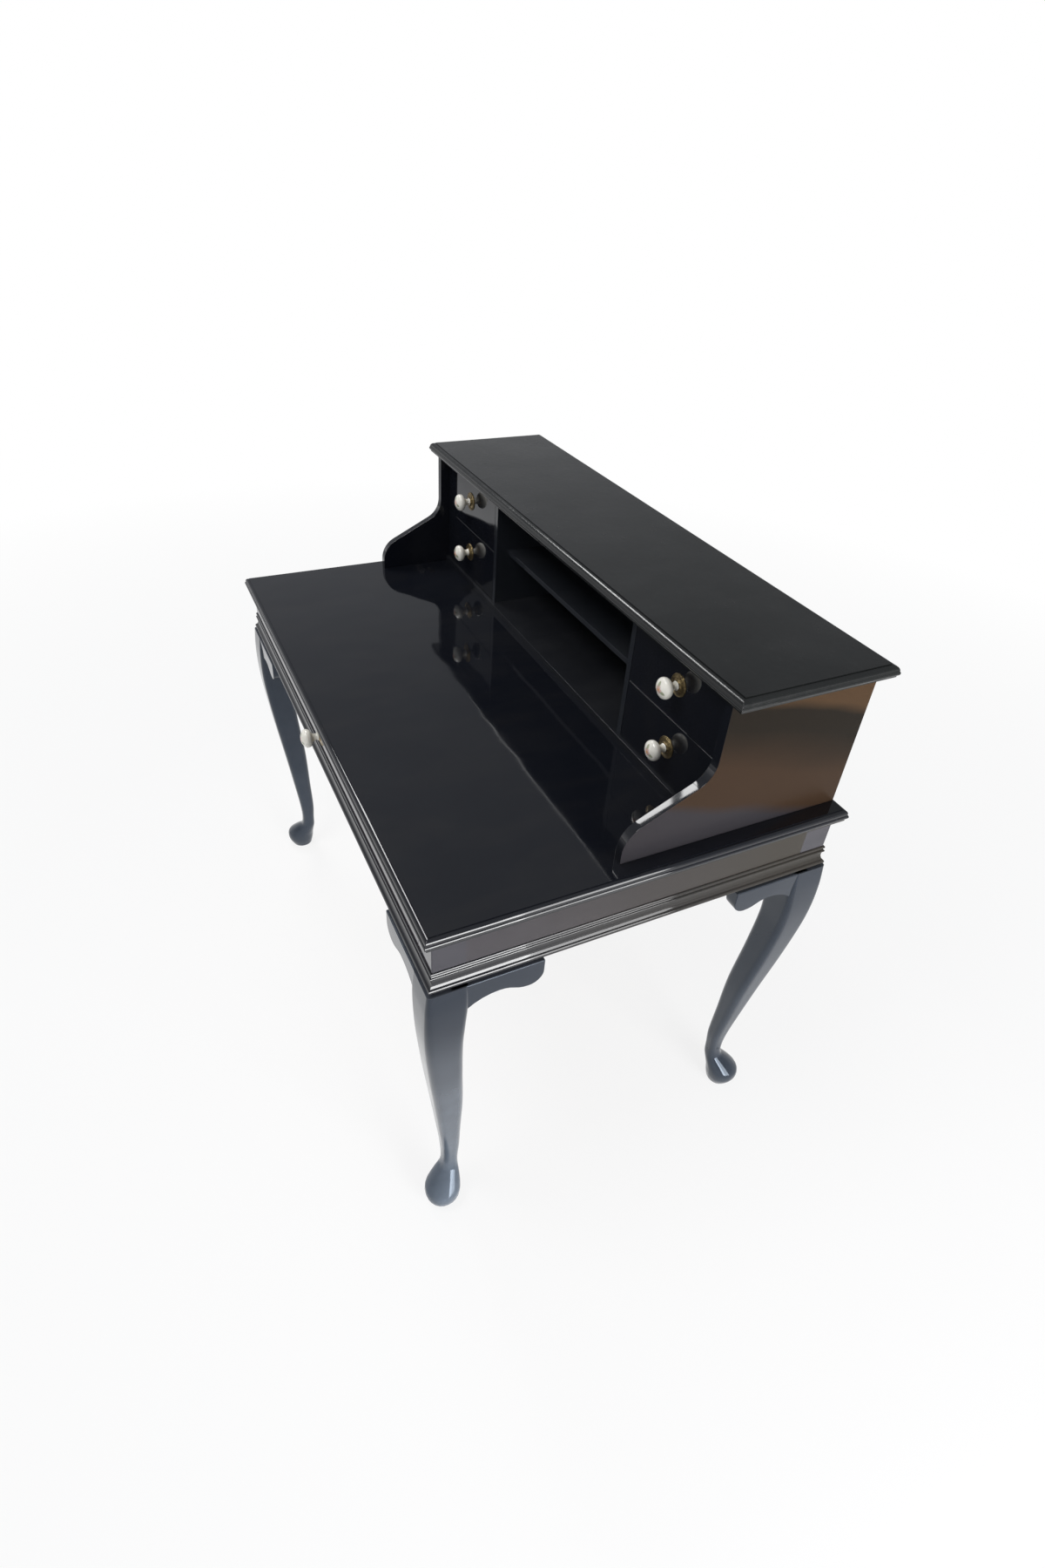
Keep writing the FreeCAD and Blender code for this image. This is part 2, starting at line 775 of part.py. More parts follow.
def drawer_front(doc, s, label, width, height, thickness, hole_height, corner):
    """A flat drawer front with the hole for its knob's spindle."""
    outline = [(0, 0), (width, 0), (width, height), (0, height)]
    front = padded(doc, label, "XZ_Plane", outline, thickness, backwards=True)
    doc.recompute()
    solid = front.Shape.Volume
    sketch = front.newObject("Sketcher::SketchObject", "KnobHole")
    plane = next(item for item in front.Origin.OriginFeatures if item.Role == "XZ_Plane")
    sketch.AttachmentSupport = [(plane, "")]
    sketch.MapMode = "FlatFace"
    middle = width / 2
    centre = FreeCAD.Vector(middle.value, hole_height.value, 0)
    round_hole = Part.Circle(centre, FreeCAD.Vector(0, 0, 1), s.knob_bore_radius.value)
    circle = sketch.addGeometry(round_hole, False)
    pin_vertex(sketch, circle, 3, (middle, hole_height))
    number = sketch.addConstraint(Sketcher.Constraint("Radius", circle, s.knob_bore_radius.value))
    sketch.setExpression(f"Constraints[{number}]", s.knob_bore_radius.text)
    hole = front.newObject("PartDesign::Pocket", "KnobHolePocket")
    hole.Profile = sketch
    bind(hole, "Length", thickness)
    doc.recompute()
    if front.Shape.Volume >= solid:
        raise RuntimeError(f"the knob hole of {label} misses its front")
    place(front, corner)
    return front


def drawer(doc, s, name, left, face, width, front_span, box_span, build, knob_lift):
    """A drawer of five boards and its knob. Left, face and width place its front; the spans are the
    heights that its front and its box may fill; build is its length, the thickness of its front and
    sides and the room left over its sides; the knob is lifted above the middle of the front."""
    length, front_thickness, side_thickness, top_clearance = build
    gap = s.drawer_gap
    foot, roof = front_span
    knob_height = (foot + roof) / 2 + knob_lift
    front_width = width - 2 * gap
    front = drawer_front(doc, s, f"{name}_front", front_width, roof - foot - 2 * gap, front_thickness,
                         knob_height - foot - gap, (left + gap, face, foot + gap))
    side_foot = box_span[0] + s.drawer_clearance
    side_height = box_span[1] - side_foot - top_clearance
    start = face + front_thickness
    run = length - front_thickness
    inner_left = left + gap + side_thickness
    inner_width = front_width - 2 * side_thickness
    panel_foot = side_foot + s.bottom_rise
    groove = block(doc, f"{name}_groove", (inner_width + 2 * s.groove_depth, run, s.bottom_thickness),
                   (inner_left - s.groove_depth, start, panel_foot))
    boards = []
    for hand, side_left in (("left", left + gap), ("right", inner_left + inner_width)):
        side = block(doc, f"{name}_{hand}_board", (side_thickness, run, side_height),
                     (side_left, start, side_foot))
        boards.append(cut(doc, f"{name}_{hand}_side", side, groove))
    back_height = side_height - s.bottom_rise - s.bottom_thickness
    boards.append(block(doc, f"{name}_back", (inner_width, side_thickness, back_height),
                        (inner_left, face + length - side_thickness, panel_foot + s.bottom_thickness)))
    reach = s.groove_depth - s.groove_clearance
    bottom = block(doc, f"{name}_bottom", (inner_width + 2 * reach, run, s.bottom_thickness),
                   (inner_left - reach, start, panel_foot))
    pieces = [front, group(doc, f"{name}_box", boards), bottom]
    return pieces + knob(doc, s, name, front_thickness, (left + width / 2, face, knob_height))


def frieze_drawer(doc, s, at):
    """The long drawer between the front posts."""
    span = (at.drawer_floor, at.drawer_roof)
    length = at.rail_back - s.frieze_drawer_back_room - at.face_front
    build = (length, s.frieze_front_thickness, s.frieze_side_thickness, s.frieze_top_clearance)
    centred = as_size(0)
    return drawer(doc, s, "frieze_drawer", -at.post_x, at.face_front, at.post_x * 2, span, span, build,
                  centred)


def small_drawers(doc, s, at):
    """Two drawers in each bank of the gallery; their fronts meet over the dust board's edge."""
    width = at.panel_inner - at.partition_outer
    length = at.back_panel - s.small_drawer_back_room - at.drawer_plane
    build = (length, s.small_front_thickness, s.small_side_thickness, s.small_top_clearance)
    under_board = at.tier_split - s.dust_board_thickness / 2
    over_board = at.tier_split + s.dust_board_thickness / 2
    pieces = []
    for hand, left in (("left", -at.panel_inner), ("right", at.partition_outer)):
        pieces += drawer(doc, s, f"lower_{hand}_drawer", left, at.drawer_plane, width,
                         (at.base_top, at.tier_split), (at.base_top, under_board), build, s.lower_knob_lift)
        pieces += drawer(doc, s, f"upper_{hand}_drawer", left, at.drawer_plane, width,
                         (at.tier_split, at.slab_bottom), (over_board, at.slab_bottom), build,
                         s.upper_knob_lift)
    return pieces


# ---------------------------------------------------------------- gallery


def end_panel_outline(s, at):
    """Gallery end seen from the right: front edge upright, then an S sweep out to a rounded toe."""
    depth = at.panel_back - at.panel_front
    height = at.slab_bottom - at.top
    sine = turn("sin", s.panel_slope)
    cosine = turn("cos", s.panel_slope)
    slope = turn("tan", s.panel_slope)
    sweep = s.panel_sweep_radius
    toe = s.panel_toe_radius
    toe_y = -s.panel_toe_reach
    toe_tangent = (toe_y + toe - toe * sine, s.panel_toe_height + toe * cosine)
    sweep_tangent_y = -sweep + sweep * sine
    sweep_tangent_z = toe_tangent[1] + (sweep_tangent_y - toe_tangent[0]) * slope
    sweep_top = sweep_tangent_z + sweep * cosine
    quarter_left = turn("cos", (90 - s.panel_slope) / 2)
    sweep_bow = sweep * (1 - quarter_left)
    toe_bow = toe * (1 - quarter_left)
    return [
        (toe_y, 0),
        (depth, 0),
        (depth, height),
        (0, height),
        (0, sweep_top, -sweep_bow),
        (sweep_tangent_y, sweep_tangent_z),
        (toe_tangent[0], toe_tangent[1], toe_bow),
        (toe_y, s.panel_toe_height),
    ]


def gallery_case(doc, s, at, holes):
    """Ends, partitions, back, base board, dust boards and the shelf of the centre opening."""
    outline = end_panel_outline(s, at)
    pieces = []
    for hand, x in (("left", -at.panel_outer), ("right", at.panel_inner)):
        panel = padded(doc, f"end_panel_{hand}", "YZ_Plane", outline, s.panel_thickness)
        place(panel, (x, at.panel_front, at.top))
        pieces.append(panel)
    height = at.slab_bottom - at.top
    upright = (s.partition_thickness, at.back_panel - at.drawer_plane, at.slab_bottom - at.base_top)
    for hand, x in (("left", -at.partition_outer), ("right", at.partition_inner)):
        pieces.append(block(doc, f"partition_{hand}", upright, (x, at.drawer_plane, at.base_top)))
    bank = (at.panel_inner - at.partition_outer, at.back_panel - at.dust_front, s.dust_board_thickness)
    pieces.append(left_and_right(doc, "dust_boards", bank, at.partition_outer, at.dust_front,
                                 at.tier_split - s.dust_board_thickness / 2))
    pieces.append(block(doc, "gallery_back", (at.panel_inner * 2, s.back_panel_thickness, height),
                        (-at.panel_inner, at.back_panel, at.top)))
    shelf_front = at.drawer_plane + s.shelf_setback
    pieces.append(block(doc, "centre_shelf",
                        (s.centre_width, at.back_panel - shelf_front, s.shelf_thickness),
                        (-at.partition_inner, shelf_front, at.tier_split - s.shelf_thickness / 2)))
    base_front = at.drawer_plane - s.base_board_reach
    board = block(doc, "base_board_blank",
                  (at.panel_inner * 2, at.back_panel - base_front, s.base_board_thickness),
                  (-at.panel_inner, base_front, at.top))
    pieces.append(cut(doc, "gallery_base_board", board, holes))
    return pieces


def screw_places(s, at):
    """Places in plan of the four screws that hold the gallery down."""
    inset = s.screw_side_inset
    rows = (at.drawer_plane + s.screw_row_inset, at.back_panel - s.screw_row_inset)
    return [(x, y) for x in (inset - at.panel_inner, at.panel_inner - inset) for y in rows]


def screw_shape(doc, s, at, name, growth, x, y):
    """Shank and sunk head of one upright screw under the table top, larger all round by a growth."""
    head = s.screw_head_radius + growth
    shank = s.screw_radius + growth
    foot = at.board_bottom
    body = turned_body(doc, name, [
        (0, 0),
        (head, 0),
        (head, s.screw_head_height),
        (shank, s.screw_head_height),
        (shank, s.board_thickness + s.screw_engagement + growth),
        (0, s.board_thickness + s.screw_engagement + growth),
    ])
    place(body, (x, y, foot))
    return body


def gallery_screws(doc, s, at):
    """The screws and the holes that they fill."""
    screws = []
    holes = []
    for number, (x, y) in enumerate(screw_places(s, at), start=1):
        screws.append(screw_shape(doc, s, at, f"screw_{number}", as_size(0), x, y))
        holes.append(screw_shape(doc, s, at, f"screw_hole_{number}", s.spindle_clearance, x, y))
    drilled = doc.addObject("Part::MultiFuse", "screw_holes")
    drilled.Shapes = holes
    return group(doc, "gallery_screws", screws), drilled


# ---------------------------------------------------------------- whole desk


def build_desk(doc):
    """Every sub-part, in the order they are put together."""
    s = SizeSheet(doc, all_sizes())
    at = Layout(s)
    screws, holes = gallery_screws(doc, s, at)
    front_left_leg = leg(doc, s, at)
    brackets = knee_brackets(doc, s, at, front_left_leg)
    pieces = [table_top(doc, s, at, holes)]
    pieces += four_corners(doc, at, front_left_leg, "leg")
    pieces += four_corners(doc, at, brackets, "knee_brackets")
    pieces += frieze_rails(doc, s, at)
    pieces += frieze_mouldings(doc, s, at)
    pieces += drawer_supports(doc, s, at)
    pieces += frieze_drawer(doc, s, at)
    pieces += gallery_case(doc, s, at, holes)
    pieces += [gallery_top(doc, s, at), screws]
    pieces += small_drawers(doc, s, at)
    doc.recompute()
    return pieces


def check_document(doc, pieces):
    """Stop if any object failed, or if a sub-part has no sound shape."""
    for item in doc.Objects:
        if "Invalid" in item.State or "Error" in item.State:
            raise RuntimeError(f"{item.Label} failed: {item.State}")
    for item in pieces:
        if item.Shape.isNull() or not item.Shape.isValid() or not item.Shape.Solids:
            raise RuntimeError(f"{item.Label} has no sound shape")


def main():
    """Build the desk and write one file for each sub-part."""
    doc = FreeCAD.newDocument("WritingDesk")
    pieces = build_desk(doc)
    check_document(doc, pieces)
    os.makedirs("parts", exist_ok=True)
    for item in pieces:
        item.Shape.exportStep(os.path.join("parts", f"{item.Label}.step"))
    print(f"{len(pieces)} sub-parts, {sum(len(item.Shape.Solids) for item in pieces)} solids")


main()
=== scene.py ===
"""Scene of a black lacquered writing desk: moulded top, frieze drawer, cabriole legs and a gallery
of small drawers with porcelain knobs. Metres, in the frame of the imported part."""

import logging
import math
from contextlib import contextmanager
from dataclasses import dataclass
from enum import Enum
from typing import Callable, Iterator, Sequence

import bmesh
import bpy
from mathutils import Matrix, Vector


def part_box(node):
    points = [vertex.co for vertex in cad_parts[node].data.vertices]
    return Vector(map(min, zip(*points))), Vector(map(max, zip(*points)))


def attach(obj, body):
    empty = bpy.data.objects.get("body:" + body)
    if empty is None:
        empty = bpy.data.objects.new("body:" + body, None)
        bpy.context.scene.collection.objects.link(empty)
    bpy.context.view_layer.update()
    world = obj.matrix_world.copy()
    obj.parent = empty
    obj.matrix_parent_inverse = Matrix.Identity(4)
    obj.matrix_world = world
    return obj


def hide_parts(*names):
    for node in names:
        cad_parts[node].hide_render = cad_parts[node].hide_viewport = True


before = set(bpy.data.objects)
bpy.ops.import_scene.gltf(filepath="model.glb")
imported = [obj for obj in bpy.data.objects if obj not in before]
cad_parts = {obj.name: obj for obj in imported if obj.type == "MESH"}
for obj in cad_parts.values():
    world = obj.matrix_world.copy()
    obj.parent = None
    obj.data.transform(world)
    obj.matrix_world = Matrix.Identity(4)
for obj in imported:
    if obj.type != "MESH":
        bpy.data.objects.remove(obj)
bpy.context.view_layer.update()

LOG = logging.getLogger("writing_desk")
MM = 0.001

Colour = tuple[float, float, float]
WHITE: Colour = (1.0, 1.0, 1.0)
Point = tuple[float, ...]
Outline = tuple[Point, ...]
Piece = bpy.types.Object


# ---- shader building


def math_node(name: str, swapped: bool = False) -> Callable[["Wire", "Wire | float"], "Wire"]:
    """Make an operator that adds a Math node.

    Args:
        name: The node's operation.
        swapped: Whether the other value comes first, as in 1 - mask.

    Returns:
        The method behind the operator.
    """

    def method(this: "Wire", other: "Wire | float") -> "Wire":
        """Work on this value and the other."""
        return this.tree.maths(name, *((other, this) if swapped else (this, other)))

    return method


class Wire:
    """One output socket of a node tree, with arithmetic that adds Math nodes."""

    def __init__(self, tree: "Tree", socket: bpy.types.NodeSocket) -> None:
        """Keep the tree and the socket."""
        self.tree = tree
        self.socket = socket

    __add__ = __radd__ = math_node("ADD")
    __mul__ = __rmul__ = math_node("MULTIPLY")
    __sub__ = math_node("SUBTRACT")
    __rsub__ = math_node("SUBTRACT", swapped=True)
    __pow__ = math_node("POWER")

    def between(self, low: float, high: float) -> "Wire":
        """Rise from 0 at low to 1 at high, held at both ends."""
        return self.tree.maths("MULTIPLY", self - low, 1 / (high - low), clamp=True)


class Tree:
    """Builder of one node tree."""

    def __init__(self, tree: bpy.types.NodeTree) -> None:
        """Start from an empty tree."""
        self.tree = tree
        self.tree.nodes.clear()

    def add(self, kind: str, settings: dict | None = None, inputs: dict | None = None,
            output: str | int = 0) -> Wire:
        """Add one node.

        Args:
            kind: The node's type, less the ShaderNode that all begin with.
            settings: Its own settings, set before its sockets; "stops" are a ramp's stops.
            inputs: Values or wires of its sockets, by name or number.
            output: The socket that is handed back.

        Returns:
            The wire of that output.
        """
        node = self.tree.nodes.new(f"ShaderNode{kind}")
        for name, value in (settings or {}).items():
            if name == "stops":
                self.set_stops(node.color_ramp, value)
            else:
                setattr(node, name, value)
        for name, value in (inputs or {}).items():
            if isinstance(value, Wire):
                self.tree.links.new(value.socket, node.inputs[name])
            else:
                socket = node.inputs[name]
                socket.default_value = (*value, 1.0) if socket.type == "RGBA" else value
        return Wire(self, node.outputs[output]) if len(node.outputs) else None

    @staticmethod
    def set_stops(ramp: bpy.types.ColorRamp, stops: Sequence[tuple[float, Colour]]) -> None:
        """Give a ramp its stops, each a place and a colour."""
        while len(ramp.elements) < len(stops):
            ramp.elements.new(0.5)
        for element, (place, colour) in zip(ramp.elements, stops):
            element.position = place
            element.color = (*colour, 1.0)

    def maths(self, operation: str, *values: "Wire | float", clamp: bool = False) -> Wire:
        """Add a Math node on these values."""
        return self.add("Math", {"operation": operation, "use_clamp": clamp}, dict(enumerate(values)))

    def vectors(self, operation: str, *values: "Wire | Colour") -> Wire:
        """Add a Vector Math node on these vectors."""
        return self.add("VectorMath", {"operation": operation}, dict(enumerate(values)))

    def mix(self, factor: Wire | float, low: Wire | Colour, high: Wire | Colour) -> Wire:
        """Blend two colours."""
        return self.add("Mix", {"data_type": "RGBA"}, {0: factor, 6: low, 7: high}, output=2)

    def blend(self, share: Wire, first: Wire, second: Wire) -> Wire:
        """Mix two shaders."""
        return self.add("MixShader", None, {0: share, 1: first, 2: second})

    def axis(self, vector: Wire, name: str) -> Wire:
        """One coordinate of a vector."""
        return self.add("SeparateXYZ", None, {0: vector}, output=name)

    def facing(self, name: str) -> Wire:
        """One coordinate of the way that the surface faces."""
        return self.axis(self.add("NewGeometry", output="Normal"), name)

    def place(self) -> Wire:
        """Object coordinates, in metres."""
        return self.add("TexCoord", output="Object")

    def stretched(self, scale: Colour) -> Wire:
        """Object coordinates scaled along each axis."""
        return self.vectors("MULTIPLY", self.place(), scale)

    def noise(self, vector: Wire, scale: float, detail: float = 3.0, rough: float = 0.5,
              distortion: float = 0.0) -> Wire:
        """Fractal noise from 0 to 1, about 0.5 on average."""
        return self.add("TexNoise", None,
                        {"Vector": vector, "Scale": scale, "Detail": detail, "Roughness": rough,
                         "Distortion": distortion})

    def bump(self, height: Wire, depth: float, strength: float = 1.0, under: Wire | None = None) -> Wire:
        """Normal of a relief whose height of one stands for this depth in metres."""
        inputs = {"Height": height, "Distance": depth, "Strength": strength}
        if under is not None:
            inputs["Normal"] = under
        return self.add("Bump", None, inputs)

    def finish(self, surface: Wire) -> None:
        """Send a shader to the material's output."""
        self.add("OutputMaterial", None, {"Surface": surface})


@dataclass(frozen=True)
class Finish:
    """A finish: its material's name and the record's slot that it belongs to."""

    name: str
    slot: str

    def surface(self, tree: Tree) -> Wire:
        """The shader of this finish; each kind of finish gives its own."""
        raise NotImplementedError

    def material(self) -> bpy.types.Material:
        """The material of this finish, made on first use."""
        made = bpy.data.materials.get(self.name)
        if made is None:
            made = bpy.data.materials.new(self.name)
            made.use_nodes = True
            tree = Tree(made.node_tree)
            tree.finish(self.surface(tree))
        return made


@dataclass(frozen=True)
class Lacquer(Finish):
    """Black lacquer over wood: a wavy gloss with patches of rubbing and fine dust; where asked, painted
    floor light near the floor, painted light on the knee's top and painted shade at the rear of the right
    side.
    """

    slot: str = "black_lacquer"
    colour: Colour = (0.0054, 0.0064, 0.0098)
    worn_colour: Colour = (0.0085, 0.0090, 0.0115)
    # Painted shade: a dull brown that darkens the rear of the right side.
    rear_shade_colour: Colour = (0.040, 0.035, 0.028)
    roughness: float = 0.04
    rubbing: float = 0.05
    ripple: float = 0.00018
    mottle: float = 0.0
    dust: float = 0.004
    dust_colour: Colour = (0.62, 0.62, 0.60)
    # Painted light from the floor: a pale blue cast low down, stronger towards the front right.
    painted_floor_light: float = 0.0
    floor_light_colour: Colour = (0.31, 0.37, 0.45)
    floor_light_top: float = 0.56
    floor_light_fade: Point = (-0.25, 0.1)
    # Painted shade: its share at the rear, and where it fades in along Y and X; right_fade also places the
    # painted floor light.
    rear_shade: float = 0.0
    rear_fade: Point = (-0.25, 0.25)
    right_fade: Point = (0.2, 0.5)
    specular: float = 0.5
    tint: Colour = WHITE
    post_finish: "Lacquer | None" = None
    post_foot: float = 0.639
    # Painted light: a pale blue-grey for the knee's top face.
    knee_painted_light: Colour = (0.075, 0.085, 0.10)

    def surface(self, tree: Tree) -> Wire:
        """Gloss with a slow ripple, patches of rubbing and settled dust, and where asked painted floor
        light, painted knee light and painted rear shade.
        """
        place = tree.place()
        patches = tree.noise(place, 9.0, 4.0, 0.6).between(0.38, 0.72)
        smears = tree.noise(tree.stretched((14.0, 5.0, 9.0)), 1.0, 3.0, 0.55, 0.6).between(0.45, 0.75)
        specks = tree.noise(place, 900.0, 1.0).between(0.66, 0.78)
        up = tree.facing("Z").between(0.4, 1.0)
        dust = up * self.dust * (0.35 + patches * 0.65) + up * specks * self.dust * 2.0
        colour = tree.mix(smears, self.colour, self.worn_colour)
        rough = self.roughness + (patches * 0.6 + smears * 0.4) * self.rubbing + specks * 0.03
        height, right = tree.axis(place, "Z"), tree.axis(place, "X").between(*self.right_fade)
        if self.post_finish:
            post = height.between(self.post_foot - MM / 2, self.post_foot + MM / 2)
            colour = tree.mix(post, colour, tree.mix(smears, self.post_finish.colour,
                                                     self.post_finish.worn_colour))
            # Painted light: the knee's top face just under the post is lightened and roughened where its
            # gloss mirrors the moulding's dark underside.
            knee_top = up * height.between(self.post_foot - 5 * MM, self.post_foot - MM) * (1.0 - post)
            colour = tree.mix(knee_top, colour, self.knee_painted_light)
            rough = rough + knee_top * 0.4
        colour = tree.mix(dust, colour, self.dust_colour)
        # Painted light from the floor: paler and rougher towards the foot, most at the front right.
        if self.painted_floor_light:
            near = right * (1.0 - tree.axis(place, "Y").between(*self.floor_light_fade))
            floor_light = ((1.0 - height.between(0.0, self.floor_light_top)) * (0.55 + 0.45 * patches)
                    * (0.25 + 0.75 * near) * self.painted_floor_light)
            colour = tree.mix(floor_light, colour, self.floor_light_colour)
            rough = rough + floor_light * 0.35
        normal = tree.bump(tree.noise(place, 5.5, 2.0, 0.45), self.ripple * 8)
        normal = tree.bump(tree.noise(place, 55.0, 2.0), self.ripple * 0.10, under=normal)
        if self.mottle:
            blotches = tree.noise(place, 85.0, 4.0, 0.62, 0.8)
            normal = tree.bump(blotches, self.mottle, under=normal)
            rough = rough + blotches.between(0.35, 0.7) * 0.12
        gloss = tree.add("BsdfPrincipled", None, {
            "Base Color": colour, "Roughness": rough, "Normal": normal, "IOR": 1.52,
            "Specular IOR Level": self.specular, "Specular Tint": self.tint,
            "Coat Weight": 0.12, "Coat Roughness": 0.02})
        if not self.rear_shade:
            return gloss
        # Painted shade: towards the rear of the right side the gloss gives way to a dull brown.
        rear = tree.axis(place, "Y").between(*self.rear_fade) * right
        dull = tree.add("BsdfPrincipled", None, {
            "Base Color": self.rear_shade_colour, "Roughness": 0.35, "Normal": normal, "IOR": 1.5,
            "Specular IOR Level": 0.15})
        return tree.blend(rear * self.rear_shade, gloss, dull)


@dataclass(frozen=True)
class RubbedLacquer(Lacquer):
    """Lacquer whose faces turned out to the sides have lost their gloss and show brown beneath, in
    bands that fall towards the back: partly wear, partly painted reflection and shade."""

    # Colours of the bands: brown of the worn lacquer, with painted reflection and shade.
    ground_and_reflection: Colour = (0.038, 0.0225, 0.0138)
    thin_and_reflection: Colour = (0.062, 0.036, 0.019)
    olive: Colour = (0.013, 0.0105, 0.0080)
    dull: Colour = (0.031, 0.029, 0.033)
    glint: Colour = (1.0, 0.76, 0.58)
    fall: float = 0.32
    bands: tuple[Point, ...] = ((0.842, 0.862), (0.925, 1.0), (1.036, 1.056))

    def surface(self, tree: Tree) -> Wire:
        """Gloss inside; outside, from the foot up, bands of dull black, brown, olive and pale brown: wear,
        with painted reflection and shade.
        """
        gloss = super().surface(tree)
        place = tree.place()
        outer = (tree.facing("X") * tree.axis(place, "X")).between(0.2, 0.5)
        wave = (tree.noise(tree.stretched((1.0, 3.0, 9.0)), 1.0, 2.0) - 0.5) * 0.05
        # Painted reflection and shade: bands by height that fall towards the back.
        height = tree.axis(place, "Z") + tree.axis(place, "Y") * self.fall + wave
        colour: Wire | Colour = self.dull
        for (low, high), above in zip(self.bands, (self.ground_and_reflection, self.olive, self.thin_and_reflection)):
            colour = tree.mix(height.between(low, high), colour, above)
        rubbed_with_reflection = tree.add("BsdfPrincipled", None, {
            "Base Color": colour, "Roughness": 0.3, "IOR": 1.5, "Specular IOR Level": 0.06,
            "Specular Tint": self.glint})
        return tree.blend(outer, gloss, rubbed_with_reflection)


@dataclass(frozen=True)
class Porcelain(Finish):
    """Glazed white porcelain with a small flower on the face; the print lies on the knob's own map."""

    slot: str = "porcelain"
    glaze: Colour = (0.87, 0.845, 0.765)
    pooled: Colour = (0.76, 0.73, 0.63)
    petal: Colour = (0.52, 0.17, 0.13)
    heart: Colour = (0.62, 0.36, 0.10)
    leaf: Colour = (0.20, 0.24, 0.10)
    petal_foot: float = 0.10
    petal_length: float = 0.11
    heart_radius: float = 0.055
    leaf_length: float = 0.38

    @staticmethod
    def lobes(tree: Tree, wave: str, angle: Wire) -> Wire:
        """Rounded lobes about the middle, from 0 to 1."""
        return tree.maths("ABSOLUTE", tree.maths(wave, angle))

    def surface(self, tree: Tree) -> Wire:
        """Glaze with faint pooling, five petals, a heart and three leaves."""
        face = tree.add("UVMap", {"uv_map": "face"})
        centred = tree.vectors("SUBTRACT", face, (0.5, 0.5, 0.0))
        across, along = tree.axis(centred, "X"), tree.axis(centred, "Y")
        reach = tree.maths("SQRT", across * across + along * along)
        angle = tree.maths("ARCTAN2", along, across)
        wobble = tree.noise(face, 14.0, 2.0) - 0.5
        petals = (self.lobes(tree, "COSINE", angle * 2.5) * self.petal_length + self.petal_foot
                  + wobble * 0.06)
        flower = (petals - reach).between(0.0, 0.02)
        vein = self.lobes(tree, "SINE", angle * 2.5) * 0.6 + 0.4
        heart = (self.heart_radius + wobble * 0.02 - reach).between(0.0, 0.012)
        sprig = self.lobes(tree, "COSINE", angle * 1.5 + 0.5) ** 3.0 * self.leaf_length
        leaves = (sprig - reach).between(0.0, 0.03) * (1.0 - flower)
        mottled = tree.noise(tree.place(), 60.0, 3.0).between(0.4, 0.75)
        colour = tree.mix(mottled * 0.5, self.glaze, self.pooled)
        colour = tree.mix(leaves * 0.75, colour, self.leaf)
        colour = tree.mix(flower * vein * 0.85, colour, self.petal)
        colour = tree.mix(heart, colour, self.heart)
        normal = tree.bump(tree.noise(tree.place(), 180.0, 2.0), 0.00004)
        return tree.add("BsdfPrincipled", None, {
            "Base Color": colour, "Roughness": 0.12 + mottled * 0.08, "Normal": normal,
            "IOR": 1.5, "Coat Weight": 0.5, "Coat Roughness": 0.04})


@dataclass(frozen=True)
class Brass(Finish):
    """Turned brass gone dull and brown in its hollows."""

    slot: str = "knob_brass"
    bright: Colour = (0.38, 0.29, 0.14)
    tarnish: Colour = (0.095, 0.068, 0.04)

    def surface(self, tree: Tree) -> Wire:
        """Metal with tarnish in patches and fine turning lines."""
        place = tree.place()
        aged = tree.noise(place, 260.0, 4.0, 0.6).between(0.38, 0.68)
        lines = tree.noise(tree.stretched((60.0, 2600.0, 60.0)), 1.0, 2.0)
        colour = tree.mix(aged, self.bright, self.tarnish)
        return tree.add("BsdfPrincipled", None, {
            "Base Color": colour, "Metallic": 0.92, "Roughness": 0.24 + aged * 0.26,
            "Normal": tree.bump(lines, 0.00005)})


class Grain(Enum):
    """Which way a board's grain runs, as the stretch of its pattern along X, Y and Z."""

    ACROSS = (2.2, 42.0, 42.0)
    DEEP = (42.0, 2.2, 42.0)


@dataclass(frozen=True)
class Timber(Finish):
    """Plain sawn and planed wood with growth bands, pores and small flecks."""

    slot: str = "drawer_oak"
    early: Colour = (0.50, 0.335, 0.18)
    late: Colour = (0.33, 0.195, 0.09)
    pore: Colour = (0.13, 0.075, 0.035)
    grain: Grain = Grain.DEEP
    sheen: float = 0.46

    def surface(self, tree: Tree) -> Wire:
        """Stretched noise for the bands, finer and longer for the pores."""
        stretch = self.grain.value
        along = tree.stretched(stretch)
        fine = tree.stretched(tuple(value * 9 for value in stretch))
        bands = tree.noise(along, 1.0, 5.0, 0.6, 1.2).between(0.3, 0.7)
        pores = tree.noise(fine, 1.0, 2.0, 0.7).between(0.56, 0.70)
        tone = tree.noise(tree.place(), 4.0, 2.0).between(0.3, 0.7)
        colour = tree.mix(bands, self.early, self.late)
        colour = tree.mix(tone * 0.25, colour, self.late)
        colour = tree.mix(pores * 0.7, colour, self.pore)
        return tree.add("BsdfPrincipled", None, {
            "Base Color": colour, "Roughness": self.sheen + pores * 0.2,
            "Normal": tree.bump(pores * -1.0 + bands * 0.3, 0.0002)})


@dataclass(frozen=True)
class Steel(Finish):
    """Plain steel screw heads, brushed and slightly dull."""

    slot: str = "steel_screw"
    colour: Colour = (0.42, 0.42, 0.43)
    dulled: Colour = (0.20, 0.19, 0.18)

    def surface(self, tree: Tree) -> Wire:
        """Metal with brushed streaks and spots of dullness."""
        place = tree.place()
        dull = tree.noise(place, 400.0, 3.0).between(0.4, 0.7)
        brushed = tree.noise(tree.stretched((3000.0, 120.0, 120.0)), 1.0, 2.0)
        return tree.add("BsdfPrincipled", None, {
            "Base Color": tree.mix(dull, self.colour, self.dulled), "Metallic": 1.0,
            "Roughness": 0.3 + dull * 0.25, "Normal": tree.bump(brushed, 0.00003)})


GLOSS = Lacquer("gloss_lacquer")
